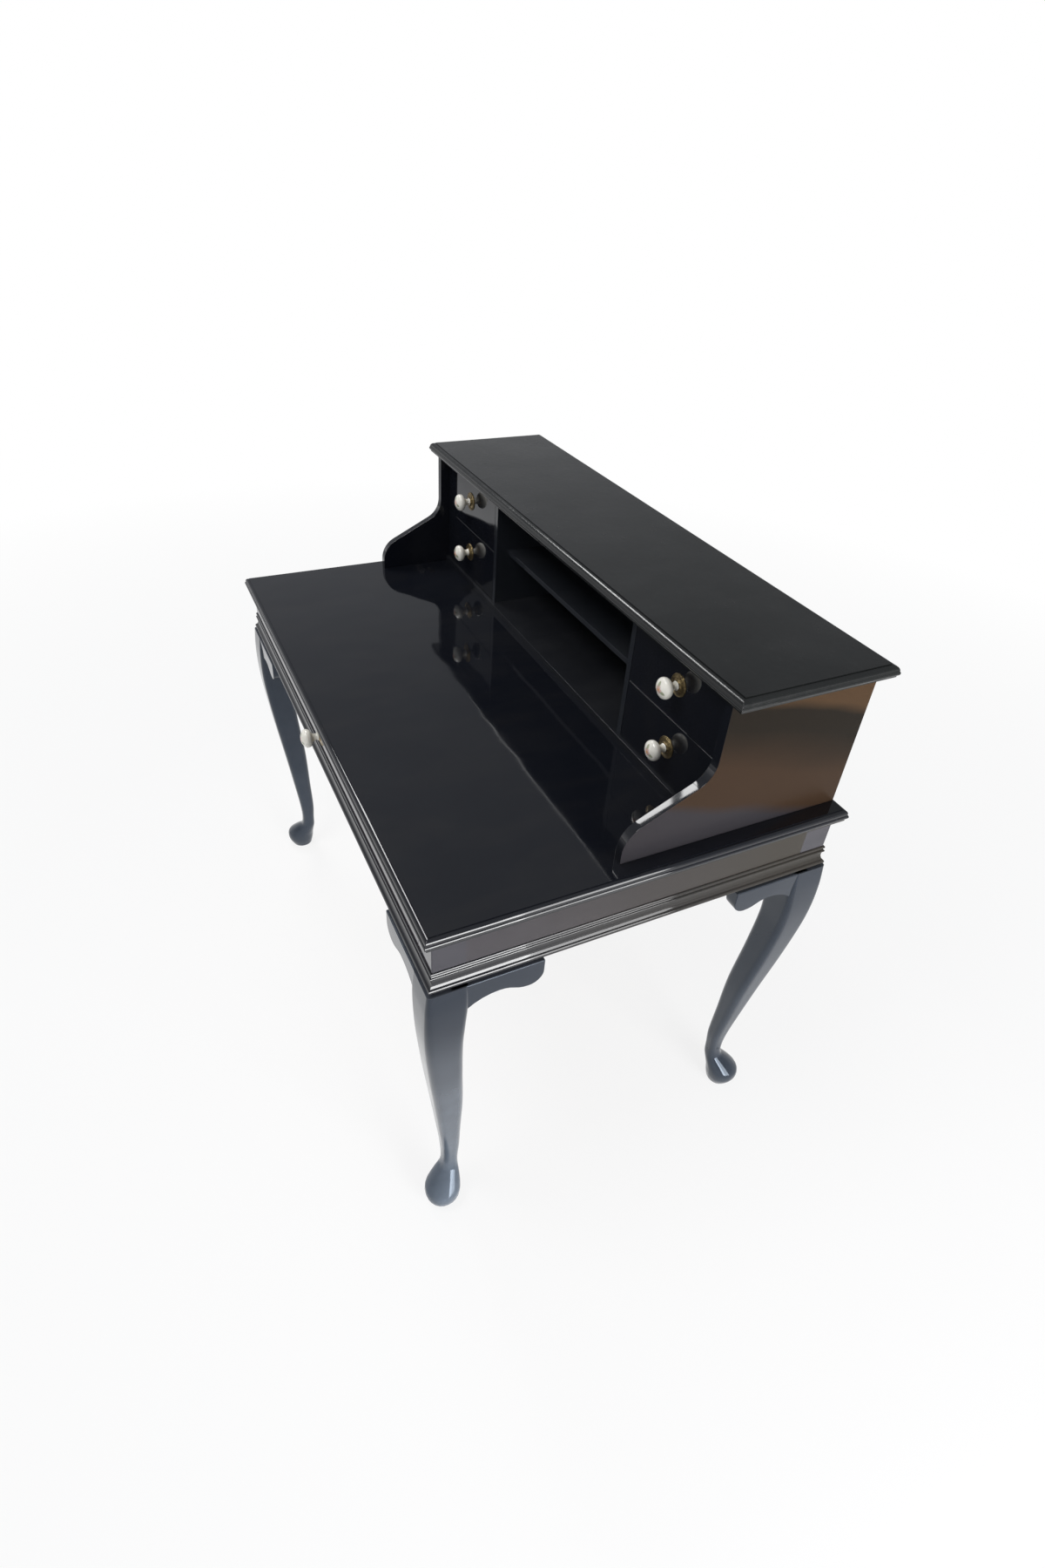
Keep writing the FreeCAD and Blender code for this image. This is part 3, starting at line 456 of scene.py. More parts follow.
# Lighter than the gloss lacquer: painted reflection of light inside the opening.
INNER_LACQUER = Lacquer("inner_lacquer", roughness=0.08, colour=(0.019, 0.0215, 0.0265),
                        worn_colour=(0.027, 0.0295, 0.034))
LEDGE_LACQUER = Lacquer("ledge_lacquer", dust=0.015, rubbing=0.10, colour=(0.010, 0.011, 0.014),
                        worn_colour=(0.015, 0.016, 0.019))
# Painted shade at the rear of the right side.
MOULDING_LACQUER = Lacquer("moulding_lacquer", rear_shade=0.75)
# Lighter, purplish base than the gloss lacquer: painted sheen; dull brown at the rear of the right side:
# painted shade.
FRIEZE_LACQUER = Lacquer("frieze_lacquer", rubbing=0.12, rear_shade=0.95, specular=0.32,
                         colour=(0.036, 0.032, 0.037), worn_colour=(0.050, 0.045, 0.051))
# Bluer, lighter base than the gloss lacquer: painted cool reflection; painted floor light low down; the
# post takes the frieze's painted sheen.
LEG_LACQUER = Lacquer("leg_lacquer", painted_floor_light=0.46, ripple=0.0003, rubbing=0.1, specular=0.42,
                      colour=(0.0125, 0.0160, 0.0240), worn_colour=(0.017, 0.0205, 0.0285),
                      tint=(0.70, 0.83, 1.0), post_finish=FRIEZE_LACQUER)
SLAB_LACQUER = Lacquer("slab_lacquer", roughness=0.12, mottle=0.00022, dust=0.005, rubbing=0.07,
                       specular=0.42, colour=(0.0075, 0.0085, 0.0083),
                       worn_colour=(0.0115, 0.0125, 0.0122))
END_LACQUER = RubbedLacquer("end_lacquer")
PORCELAIN = Porcelain("knob_porcelain")
BRASS = Brass("rose_brass")
OAK_DEEP = Timber("drawer_side_oak")
OAK_ACROSS = Timber("drawer_board_oak", grain=Grain.ACROSS)
PINE = Timber("inside_pine", "pine", early=(0.66, 0.47, 0.27), late=(0.48, 0.29, 0.13),
              pore=(0.32, 0.18, 0.08), sheen=0.6)
STEEL = Steel("screw_steel")


# ---- modelling by hand


class Pick(Enum):
    """What an edit-mode selection is made of."""

    EDGE = "edges"
    FACE = "faces"


class Face(Enum):
    """The plane that an outline is drawn on, as where its two axes and its thickness point."""

    FRONT = ((1, 0, 0), (0, 0, 1), (0, 1, 0))
    SIDE = ((0, 1, 0), (0, 0, 1), (1, 0, 0))


SHADED_BELOW = math.radians(50)
ROUNDED_ABOVE = math.radians(40)


def bowed(points: Sequence[Point], closed: bool = True, step: float = 10.0) -> list[Vector]:
    """Follow an outline and divide its bowed edges.

    Args:
        points: (x, y), or (x, y, rise) where the edge that leaves the point bows to its right by that
            much, or to its left where the rise is negative.
        closed: Whether the last point joins the first.
        step: Most that a divided arc turns at each point, in degrees.

    Returns:
        The outline's points.
    """
    path: list[Vector] = []
    for index, point in enumerate(points):
        start = Vector(point[:2])
        path.append(start)
        if len(point) < 3 or (not closed and index + 1 == len(points)):
            continue
        run = Vector(points[(index + 1) % len(points)][:2]) - start
        rise = abs(point[2])
        side = Vector((run.y, -run.x)).normalized() * math.copysign(1.0, point[2])
        radius = run.length_squared / (8 * rise) + rise / 2
        half = 2 * math.atan(2 * rise / run.length)
        centre = start + run / 2 + side * (rise - radius)
        count = max(3, math.ceil(math.degrees(2 * half) / step))
        for number in range(1, count):
            angle = half * (2 * number / count - 1)
            path.append(centre + side * radius * math.cos(angle)
                        + run.normalized() * radius * math.sin(angle))
    return path


def in_metres(*points: Point) -> Outline:
    """An outline given in millimetres."""
    return tuple(tuple(value * MM for value in point) for point in points)


def take(piece: Piece) -> None:
    """Make a piece the only selected and active one."""
    bpy.ops.object.select_all(action="DESELECT")
    piece.select_set(True)
    bpy.context.view_layer.objects.active = piece


@contextmanager
def editing(piece: Piece) -> Iterator[None]:
    """Hold a piece in edit mode with all of it selected."""
    take(piece)
    bpy.ops.object.mode_set(mode="EDIT")
    bpy.ops.mesh.select_mode(type="VERT")
    bpy.ops.mesh.select_all(action="SELECT")
    yield
    bpy.ops.object.mode_set(mode="OBJECT")


def pick(piece: Piece, kind: Pick, test: Callable) -> None:
    """Select, in edit mode, the elements that pass a test."""
    bpy.ops.mesh.select_mode(type=kind.name)
    bpy.ops.mesh.select_all(action="DESELECT")
    mesh = bmesh.from_edit_mesh(piece.data)
    for element in getattr(mesh, kind.value):
        if test(element):
            element.select_set(True)
    mesh.select_flush_mode()
    bmesh.update_edit_mesh(piece.data)


def extrude(way: Point) -> None:
    """Draw what is selected out along a way, in edit mode."""
    bpy.ops.mesh.extrude_region_move(TRANSFORM_OT_translate={"value": way})


def settle(piece: Piece) -> None:
    """Put a piece's place, turn and scale into its mesh."""
    take(piece)
    bpy.ops.object.transform_apply(location=True, rotation=True, scale=True)


def named(name: str) -> Piece:
    """Name the piece that was just added."""
    piece = bpy.context.object
    piece.name = piece.data.name = name
    return piece


def modify(piece: Piece, kind: str, **settings: object) -> None:
    """Add one modifier and apply it."""
    take(piece)
    modifier = piece.modifiers.new(kind.title(), kind)
    for name, value in settings.items():
        setattr(modifier, name, value)
    bpy.ops.object.modifier_apply(modifier=modifier.name)


def ease(piece: Piece, width: float, segments: int = 2) -> None:
    """Round over the sharp edges and shade what is left smooth."""
    if width:
        modify(piece, "BEVEL", width=width, segments=segments, limit_method="ANGLE",
               angle_limit=ROUNDED_ABOVE, use_clamp_overlap=False)
    smooth(piece)


def smooth(piece: Piece) -> None:
    """Shade smooth up to an angle, and keep flat faces flat beside a rounding."""
    take(piece)
    bpy.ops.object.shade_smooth_by_angle(angle=SHADED_BELOW)
    modify(piece, "WEIGHTED_NORMAL", weight=90, keep_sharp=True)


def board(name: str, low: Vector, high: Vector, rounding: float) -> Piece:
    """A square-cut board between two corners, its edges eased."""
    bpy.ops.mesh.primitive_cube_add(size=1, location=(Vector(low) + Vector(high)) / 2)
    piece = named(name)
    piece.scale = Vector(high) - Vector(low)
    settle(piece)
    ease(piece, rounding)
    return piece


def trace(name: str, path: Sequence[Vector], filled: bool = True) -> Piece:
    """Draw a line through points by extruding one vertex, and fill it if asked."""
    bpy.ops.mesh.primitive_plane_add(size=MM, location=path[0])
    piece = named(name)
    settle(piece)
    with editing(piece):
        bpy.ops.mesh.merge(type="CENTER")
        for last, point in zip(path, path[1:]):
            extrude(point - last)
        if filled:
            bpy.ops.mesh.select_all(action="SELECT")
            bpy.ops.mesh.edge_face_add()
    return piece


def outlined(name: str, outline: Sequence[Point], face: Face, origin: Vector, thickness: float,
             rounding: float) -> Piece:
    """A board sawn to an outline.

    Args:
        name: The piece's name.
        outline: Its outline, as for bowed.
        face: The plane that it is drawn on.
        origin: Where the outline's origin lies.
        thickness: How far it is extruded along the third axis.
        rounding: Width of the rounding along its edges.

    Returns:
        The piece.
    """
    across, up, through = (Vector(axis) for axis in face.value)
    path = [Vector(origin) + across * point.x + up * point.y for point in bowed(outline)]
    piece = trace(name, path)
    with editing(piece):
        extrude(through * thickness)
        face_out()
    ease(piece, rounding)
    return piece


def turned(name: str, profile: Sequence[Point], centre: Vector, steps: int = 56) -> Piece:
    """A piece turned about an axis that runs towards the front.

    Args:
        name: The piece's name.
        profile: Its profile as (radius, distance out along -Y), as for an open outline.
        centre: Where the axis meets a distance of nothing.
        steps: Number of faces round it.

    Returns:
        The piece, closed and facing outwards.
    """
    path = [Vector(centre) + Vector((point.x, -point.y, 0)) for point in bowed(profile, False, 7.0)]
    piece = trace(name, path, filled=False)
    with editing(piece):
        bpy.ops.mesh.spin(steps=steps, angle=2 * math.pi, center=centre, axis=(0, 1, 0))
        close()
    smooth(piece)
    return piece


def face_out() -> None:
    """Turn all faces outwards, in edit mode."""
    bpy.ops.mesh.select_all(action="SELECT")
    bpy.ops.mesh.normals_make_consistent(inside=False)


def close() -> None:
    """Merge doubles and turn all faces outwards, in edit mode."""
    bpy.ops.mesh.select_all(action="SELECT")
    bpy.ops.mesh.remove_doubles(threshold=1e-6)
    face_out()


def slab(name: str, low: Vector, high: Vector, profile: Sequence[Point], mitre: float) -> Piece:
    """A board with a moulding run round its edges.

    Args:
        name: The piece's name.
        low: Lowest corner of its box.
        high: Highest corner of its box.
        profile: Moulding from the underside up, as (reach, height): a reach of nothing is the box's
            side and less is inside it, and heights count from the top.
        mitre: Width of the rounding along the four mitres.

    Returns:
        The piece.
    """
    centre = (Vector(low) + Vector(high)) / 2
    width, depth = high.x - low.x, high.y - low.y
    path = bowed(profile, False)
    first = path[0]
    bpy.ops.mesh.primitive_plane_add(size=1, location=(centre.x, centre.y, high.z + first.y))
    piece = named(name)
    piece.scale = (width + 2 * first.x, depth + 2 * first.x, 1)
    settle(piece)
    with editing(piece):
        for last, point in zip(path, path[1:]):
            extrude((0, 0, point.y - last.y))
            grow = [(size + 2 * point.x) / (size + 2 * last.x) for size in (width, depth)]
            bpy.ops.transform.resize(value=(*grow, 1), center_override=(centre.x, centre.y, high.z))
        close()
        pick(piece, Pick.EDGE, lambda edge: edge.calc_length() < depth / 4)
        bpy.ops.mesh.bevel(offset=mitre, segments=3, affect="EDGES", clamp_overlap=False)
    smooth(piece)
    return piece


def strip(name: str, profile: Sequence[Point], length: float, mitre: float) -> Piece:
    """A moulding along Y, centred, with its back at x = 0 and both ends mitred outwards.

    Args:
        name: The piece's name.
        profile: Its section as (reach, height), as for a closed outline.
        length: Length of its back.
        mitre: How far the section reaches at most.

    Returns:
        The piece.
    """
    half = length / 2
    path = [Vector((point.x, -half - mitre, point.y)) for point in bowed(profile)]
    piece = trace(name, path)
    with editing(piece):
        extrude((0, length + 2 * mitre, 0))
        for end in (-1, 1):
            bpy.ops.mesh.select_all(action="SELECT")
            bpy.ops.mesh.bisect(plane_co=(0, end * half, 0), plane_no=(-1, end, 0), use_fill=True,
                                clear_outer=True)
        close()
    smooth(piece)
    return piece


def copy(piece: Piece, name: str) -> Piece:
    """A copy with a mesh of its own."""
    twin = piece.copy()
    twin.data = piece.data.copy()
    twin.name = twin.data.name = name
    bpy.context.scene.collection.objects.link(twin)
    return twin


def mirrored(piece: Piece, name: str, axis: int, plane: float) -> Piece:
    """A mirror image in the plane across one axis at a place on it."""
    twin = copy(piece, name)
    twin.scale[axis] = -1
    twin.location[axis] = 2 * plane
    settle(twin)
    with editing(twin):
        face_out()
    smooth(twin)
    return twin


def join(pieces: Sequence[Piece]) -> Piece:
    """Join pieces into the first."""
    bpy.ops.object.select_all(action="DESELECT")
    for piece in pieces:
        piece.select_set(True)
    bpy.context.view_layer.objects.active = pieces[0]
    bpy.ops.object.join()
    return pieces[0]


def cut(piece: Piece, tool: Piece, discard: bool = True) -> None:
    """Take a tool's shape out of a piece."""
    modify(piece, "BOOLEAN", operation="DIFFERENCE", object=tool, solver="EXACT")
    if discard:
        bpy.data.objects.remove(tool)


def fit(piece: Piece, finish: Finish, body: str, *nodes: str) -> None:
    """Dress a new piece and set it on its body.

    Args:
        piece: The piece.
        finish: Its finish.
        body: The body that it rides on.
        nodes: The nodes that it stands for.
    """
    piece.data.materials.clear()
    piece.data.materials.append(finish.material())
    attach(piece, body)
    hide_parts(*nodes)
    LOG.info("%s on %s, %d faces", piece.name, body, len(piece.data.polygons))


def dress(finish: Finish, *nodes: str) -> None:
    """Give nodes that are left as they are their finish."""
    for name in nodes:
        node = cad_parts[name]
        node.data.materials.clear()
        node.data.materials.append(finish.material())
        LOG.info("%s kept, in %s", name, finish.name)


# ---- sub-assemblies


@dataclass
class TableTop:
    """The moulded table top, with the counterbored holes of the gallery's screws."""

    moulding: Outline = in_metres(
        (-3.5, -20), (-3.5, -17), (-2, -17, 2), (-2, -9.5), (-2, -8, 1.9), (-8, -1.5), (-9, -1.5), (-9, 0))
    mitre: float = 0.0007
    head_radius: float = 0.0051
    head_depth: float = 0.0031
    shank_radius: float = 0.0026
    screw_radius: float = 0.005
    tool_length: float = 0.02

    def screw_hole(self, x: float, y: float, low: float, high: float) -> Piece:
        """A cutter for one screw: a shank and a wider head below it."""
        bpy.ops.mesh.primitive_cylinder_add(
            vertices=40, radius=self.head_radius, depth=self.tool_length,
            location=(x, y, low + self.head_depth - self.tool_length / 2))
        tool = named("screw_hole")
        settle(tool)
        with editing(tool):
            pick(tool, Pick.FACE, lambda face: face.normal.z > 0.9)
            bpy.ops.mesh.inset(thickness=self.head_radius - self.shank_radius)
            extrude((0, 0, high - low))
        return tool

    def build(self) -> None:
        """Mould the board and drill it where the screws stand."""
        low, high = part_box("table_top")
        top = slab("moulded_table_top", low, high, self.moulding, self.mitre)
        first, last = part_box("gallery_screws")
        for x in (first.x + self.screw_radius, last.x - self.screw_radius):
            for y in (first.y + self.screw_radius, last.y - self.screw_radius):
                cut(top, self.screw_hole(x, y, low.z, high.z))
        smooth(top)
        fit(top, GLOSS, "desk", "table_top")
        dress(STEEL, "gallery_screws")


def frieze_sides() -> tuple[float, float, float, float]:
    """Where the left, right, front and back faces of the frieze lie."""
    return (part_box("frieze_rail_left")[0].x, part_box("frieze_rail_right")[1].x,
            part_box("front_rail_lower")[0].y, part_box("frieze_rail_back")[1].y)


@dataclass
class Frieze:
    """Rails, the cornice under the top and the moulding at the foot of the frieze."""

    cornice: Outline = in_metres((0, 0), (1.5, 0), (1.5, 1.5, -2.4), (11.5, 9.5), (11.5, 11), (0, 11))
    base: Outline = in_metres(
        (0, 0), (3.5, 0), (3.5, 1.5, 3.5), (3.5, 11.5, -1.6), (1.2, 26.5, 2.2), (1.2, 32), (0.6, 33.5, 1.8),
        (0.6, 40), (0, 40))
    cornice_reach: float = 0.0115
    base_reach: float = 0.007

    def run(self, kind: str, profile: Outline, reach: float) -> None:
        """One moulding on the four sides of the frieze."""
        left, right, front, back = frieze_sides()
        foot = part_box(f"{kind}_moulding_front")[0].z
        middle = (front + back) / 2
        long_strip = strip(f"{kind}_strip_front", profile, 2 * right, reach)
        short_strip = strip(f"{kind}_strip_right", profile, back - front, reach)
        places = [
            ("right", short_strip, 0, (right, middle)),
            ("left", copy(short_strip, f"{kind}_strip_left"), 180, (left, middle)),
            ("back", copy(long_strip, f"{kind}_strip_back"), 90, (0, back)),
            ("front", long_strip, 270, (0, front)),
        ]
        for side, piece, turn, (x, y) in places:
            piece.rotation_euler.z = math.radians(turn)
            piece.location = (x, y, foot)
            settle(piece)
            fit(piece, MOULDING_LACQUER, "desk", f"{kind}_moulding_{side}")

    def build(self) -> None:
        """Run both mouldings and finish what lies flat behind them."""
        self.run("cornice", self.cornice, self.cornice_reach)
        self.run("base", self.base, self.base_reach)
        dress(FRIEZE_LACQUER, "frieze_rail_back", "frieze_rail_left", "frieze_rail_right",
              "front_rail_lower", "front_rail_upper")
        dress(PINE, "frieze_drawer_runners", "frieze_drawer_kickers", "table_top_glue_blocks")


@dataclass(frozen=True)
class Section:
    """A level of a leg: a rounded square whose outer faces reach past the post's."""

    height: float
    reach: float
    side: float
    corner: float


@dataclass
class Leg:
    """A cabriole leg and its two knee brackets, modelled at the front left and mirrored."""

    sections: tuple[Section, ...] = tuple(Section(*row) for row in in_metres(
        (0, -3.0, 48.0, 23.0), (18, 6.0, 62.0, 29.5), (37, 5.5, 64.0, 30.5), (54, -9.0, 51.0, 24.0),
        (72, -27.5, 33.0, 14.0), (94, -32.0, 28.6, 10.5), (135.42, -30.5, 32.4, 11.0),
        (204.64, -23.0, 38.8, 12.0), (303.83, -11.0, 49.0, 13.0), (412.28, 2.8, 55.4, 13.0),
        (501.66, 12.0, 60.0, 12.0), (552.89, 14.5, 64.0, 11.0), (600.85, 13.5, 66.0, 9.0),
        (639, 10.0, 61.5, 6.0)))
    post_side: float = 0.050
    post_edge: float = 0.0016
    post_top: float = 0.740
    levels: int = 72
    crowding: float = 1.25
    least_gap: float = 0.0015
    sole_edge: float = 0.0012
    corner_steps: int = 6
    side_steps: int = 4
    bracket_reach: float = 0.0095
    bracket_length: float = 0.121
    bracket_arch: float = 0.050
    bracket_drop: float = 0.034
    bracket_heel: float = 0.018
    bracket_fall: float = 0.0125
    bracket_nose: float = 0.024
    bracket_thickness: float = 0.024
    bracket_edge: float = 0.0016

    def at_height(self, height: float) -> Section:
        """The section at any height, on a smooth curve through the stated ones."""
        rows = self.sections
        index = max(i for i in range(len(rows) - 1) if rows[i].height <= height + 1e-9)
        low, high = rows[index], rows[index + 1]
        before, after = rows[max(index - 1, 0)], rows[min(index + 2, len(rows) - 1)]
        gap = high.height - low.height
        share = (height - low.height) / gap

        def curve(name: str) -> float:
            """Cubic between two sections with the slope of their neighbours."""
            first, last = getattr(low, name), getattr(high, name)
            leave = (last - getattr(before, name)) / (high.height - before.height) * gap
            arrive = (getattr(after, name) - first) / (after.height - low.height) * gap
            return (first * (2 * share ** 3 - 3 * share ** 2 + 1) + last * (3 * share ** 2 - 2 * share ** 3)
                    + leave * (share ** 3 - 2 * share ** 2 + share) + arrive * (share ** 3 - share ** 2))

        return Section(height, curve("reach"), curve("side"), min(curve("corner"), curve("side") * 0.499))

    def ring(self, section: Section, origin: Vector) -> list[Vector]:
        """Points of a section, corner by corner, round the post's outer corner."""
        low, high = -section.reach, section.side - section.reach
        near, far = low + section.corner, high - section.corner
        middles = [(far, near, -90), (far, far, 0), (near, far, 90), (near, near, 180)]

        def on_corner(number: int, turn: float) -> Vector:
            """A point of one rounded corner, turned so far on from its start."""
            x, y, start = middles[number % 4]
            angle = math.radians(start + turn)
            return Vector((x + section.corner * math.cos(angle), y + section.corner * math.sin(angle), 0))

        points: list[Vector] = []
        for number in range(4):
            points += [on_corner(number, 90 * step / self.corner_steps)
                       for step in range(self.corner_steps + 1)]
            last, target = points[-1], on_corner(number + 1, 0)
            points += [last.lerp(target, step / self.side_steps) for step in range(1, self.side_steps)]
        return [Vector((origin.x, origin.y, section.height)) + point for point in points]

    def settle_ring(self, piece: Piece, order: list[int] | None, points: list[Vector]) -> list[int]:
        """Move the selected ring of vertices on to a section.

        Args:
            piece: The leg, in edit mode.
            order: The last ring's vertices in order, or None for the first ring.
            points: The section's points.

        Returns:
            The ring's vertices in order.
        """
        mesh = bmesh.from_edit_mesh(piece.data)
        mesh.verts.ensure_lookup_table()
        if order is None:
            ring = list(mesh.verts)
        else:
            ring = [next(edge.other_vert(mesh.verts[index]) for edge in mesh.verts[index].link_edges
                         if edge.other_vert(mesh.verts[index]).select) for index in order]
        for vertex, point in zip(ring, points):
            vertex.co = point
        bmesh.update_edit_mesh(piece.data)
        return [vertex.index for vertex in ring]

    def shank(self, origin: Vector) -> Piece:
        """The leg below the frieze, drawn up ring by ring from the sole."""
        top = self.sections[-1].height
        heights = sorted({row.height for row in self.sections}
                         | {top * (n / self.levels) ** self.crowding for n in range(self.levels)})
        heights = [height for height, following in zip(heights, heights[1:] + [math.inf])
                   if following - height > self.least_gap]
        count = 4 * (self.corner_steps + self.side_steps)
        bpy.ops.mesh.primitive_circle_add(vertices=count, radius=self.sections[0].side / 2,
                                          fill_type="NGON", location=(origin.x, origin.y, 0))
        piece = named("shank")
        settle(piece)
        with editing(piece):
            order = self.settle_ring(piece, None, self.ring(self.at_height(0.0), origin))
            for height in heights[1:]:
                extrude((0, 0, MM))
                order = self.settle_ring(piece, order, self.ring(self.at_height(height), origin))
            face_out()
            pick(piece, Pick.EDGE, lambda edge: edge.verts[0].co.z + edge.verts[1].co.z < 1e-6)
            bpy.ops.mesh.bevel(offset=self.sole_edge, segments=2, affect="EDGES")
        return piece

    def post(self, origin: Vector) -> Piece:
        """The square post beside the frieze, its outer corner rounded."""
        foot = Vector((origin.x, origin.y, self.sections[-1].height))
        piece = board("post", foot, foot + Vector((self.post_side, self.post_side,
                                                   self.post_top - foot.z)), 0.0)
        with editing(piece):
            pick(piece, Pick.EDGE, lambda edge: all(
                (vertex.co.xy - origin.xy).length < 1e-5 for vertex in edge.verts))
            bpy.ops.mesh.bevel(offset=self.post_edge, segments=4, affect="EDGES")
        return piece

    @staticmethod
    def level_bow(across: float, down: float) -> float:
        """Rise of an arc that leaves one end level and falls by down over across."""
        radius = (across ** 2 + down ** 2) / (2 * down)
        return radius - math.sqrt(radius ** 2 - (across ** 2 + down ** 2) / 4)

    def bracket_outline(self) -> Outline:
        """Outline of a knee bracket, away from the post's corner and down from the frieze."""
        post, drop, fall, nose = self.post_side, self.bracket_drop, self.bracket_fall, self.bracket_nose
        heel, arch, tip = drop + self.bracket_heel, post + self.bracket_arch, post + self.bracket_length
        lobe, lobe_drop = tip - nose, drop + fall
        half_fall = self.level_bow((lobe - arch) / 2, fall / 2)
        return ((post / 2, 0), (post / 2, -heel),
                (post, -heel, -self.level_bow(self.bracket_arch, self.bracket_heel)),
                (arch, -drop, -half_fall), ((arch + lobe) / 2, -drop - fall / 2, half_fall),
                (lobe, -lobe_drop, nose * (1 - math.sqrt(0.5))), (tip, nose - lobe_drop), (tip, 0))

    def brackets(self, leg: Piece, origin: Vector) -> Piece:
        """Two sawn brackets beside the knee, scribed to its curve."""
        foot = self.sections[-1].height
        shapes = [
            (Face.FRONT, Vector((origin.x, origin.y - self.bracket_reach, foot))),
            (Face.SIDE, Vector((origin.x - self.bracket_reach, origin.y, foot))),
        ]
        pieces = []
        for number, (face, corner) in enumerate(shapes):
            piece = outlined(f"bracket_{number}", self.bracket_outline(), face, corner,
                             self.bracket_thickness, self.bracket_edge)
            cut(piece, leg, discard=False)
            pieces.append(piece)
        joined = join(pieces)
        smooth(joined)
        return joined

    def build(self) -> None:
        """Model one corner and mirror it to the other three."""
        left, right, front, back = frieze_sides()
        origin = Vector((left, front, 0))
        leg = join([self.shank(origin), self.post(origin)])
        smooth(leg)
        brackets = self.brackets(leg, origin)
        middle = (front + back) / 2
        for stem, piece, node in (("cabriole_leg", leg, "leg"),
                                  ("scribed_brackets", brackets, "knee_brackets")):
            piece.name = piece.data.name = f"{stem}_front_left"
            twin = mirrored(piece, f"{stem}_front_right", 0, (left + right) / 2)
            pieces = {"front_left": piece, "front_right": twin,
                      "rear_left": mirrored(piece, f"{stem}_rear_left", 1, middle),
                      "rear_right": mirrored(twin, f"{stem}_rear_right", 1, middle)}
            for corner, made in pieces.items():
                fit(made, LEG_LACQUER, "desk", f"{node}_{corner}")


@dataclass
class Knob:
    """A porcelain knob on a turned brass rose, with the spindle that holds it."""

    porcelain: Outline = in_metres(
        (2.5, 5), (7.1, 5, 0.2), (7.5, 5.5, -0.35), (6, 9.4, -1.511), (11.5, 17.3, 1.511),
        (17, 25.2, 0.69), (14.367, 30.907, 1.365), (0, 36.2))
    rose: Outline = in_metres(
        (2.4, 0), (18.5, 0), (18.5, 0.7, 0.4), (17.2, 1.75, 0.15), (16.4, 1.35, -0.2), (15.4, 1.9),
        (10.6, 2.85, -0.2), (9.4, 3.5), (9, 3.8, 0.15), (8.9, 4.7), (8.5, 5), (2.4, 5))
    head: float = 0.005
    head_height: float = 0.0025
    widest: float = 0.0252
    face_reach: float = 0.0172
    stem: float = 0.0024
    stem_reach: float = 0.0219

    def map_face(self, piece: Piece, centre: Vector, front: float) -> None:
        """Lay the print's map flat on the crown of the head."""
        layer = piece.data.uv_layers.new(name="face")
        for loop in piece.data.loops:
            place = piece.data.vertices[loop.vertex_index].co
            shown = place.y < front
            layer.data[loop.index].uv = (
                0.5 + (place.x - centre.x) / (2 * self.face_reach) if shown else 0.01,
                0.5 + (place.z - centre.z) / (2 * self.face_reach) if shown else 0.01)

    def build(self, name: str, centre: Vector, thickness: float) -> None:
        """Turn the knob of one drawer.

        Args:
            name: The drawer's name, which is also its body's.
            centre: Where the axis meets the face of the drawer front.
            thickness: Thickness of the front, which the spindle crosses.
        """
        head = turned(f"{name}_porcelain_knob", self.porcelain, centre)
        self.map_face(head, centre, centre.y - self.widest)
        fit(head, PORCELAIN, name, f"{name}_knob")
        rose = turned(f"{name}_rose", self.rose, centre)
        sole = -thickness - self.head_height
        spindle = turned(f"{name}_spindle", [
            (0, sole), (self.head - 0.6 * MM, sole, 0.3 * MM), (self.head, sole + 0.8 * MM),
            (self.head, -thickness), (self.stem, -thickness), (self.stem, self.stem_reach),
            (0, self.stem_reach)], centre, 32)
        fit(join([rose, spindle]), BRASS, name, f"{name}_knob_fitting")


@dataclass
class Drawer:
    """A drawer: a lacquered front with its knob and an oak box."""

    name: str
    front_finish: Finish
    side_thickness: float
    front_ease: float = 0.0009
    top_round: float = 0.0022
    side_ease: float = 0.0003
    back_ease: float = 0.0006
    back_rise: float = 0.012
    back_drop: float = 0.0005

    def side(self, name: str, low: Vector, high: Vector) -> Piece:
        """A side board with its upper edges rounded over."""
        piece = board(name, low, high, 0.0)
        with editing(piece):
            pick(piece, Pick.EDGE, lambda edge: all(v.co.z > high.z - 1e-5 for v in edge.verts)
                 and abs(edge.verts[0].co.x - edge.verts[1].co.x) < 1e-5)
            bpy.ops.mesh.bevel(offset=self.top_round, segments=4, affect="EDGES")
        ease(piece, self.side_ease, 1)
        return piece

    def build(self) -> None:
        """Make the front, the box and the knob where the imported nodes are."""
        low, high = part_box(f"{self.name}_front")
        front = board(f"{self.name}_lacquered_front", low, high, self.front_ease)
        fit(front, self.front_finish, self.name, f"{self.name}_front")
        first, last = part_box(f"{self.name}_box")
        inner = (first.x + self.side_thickness, last.x - self.side_thickness)
        left = self.side(f"{self.name}_oak_sides", first, Vector((inner[0], last.y, last.z)))
        right = self.side("right_side", Vector((inner[1], first.y, first.z)), last)
        back = board("back_board", (inner[0], last.y - self.side_thickness, first.z + self.back_rise),
                     (inner[1], last.y, last.z - self.back_drop), self.back_ease)
        back.name = f"{self.name}_oak_back"
        fit(join([left, right]), OAK_DEEP, self.name, f"{self.name}_box")
        fit(back, OAK_ACROSS, self.name, f"{self.name}_box")
        dress(OAK_ACROSS, f"{self.name}_bottom")
        knob_low, knob_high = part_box(f"{self.name}_knob")
        centre = Vector(((knob_low.x + knob_high.x) / 2, low.y, (knob_low.z + knob_high.z) / 2))
        Knob().build(self.name, centre, high.y - low.y)


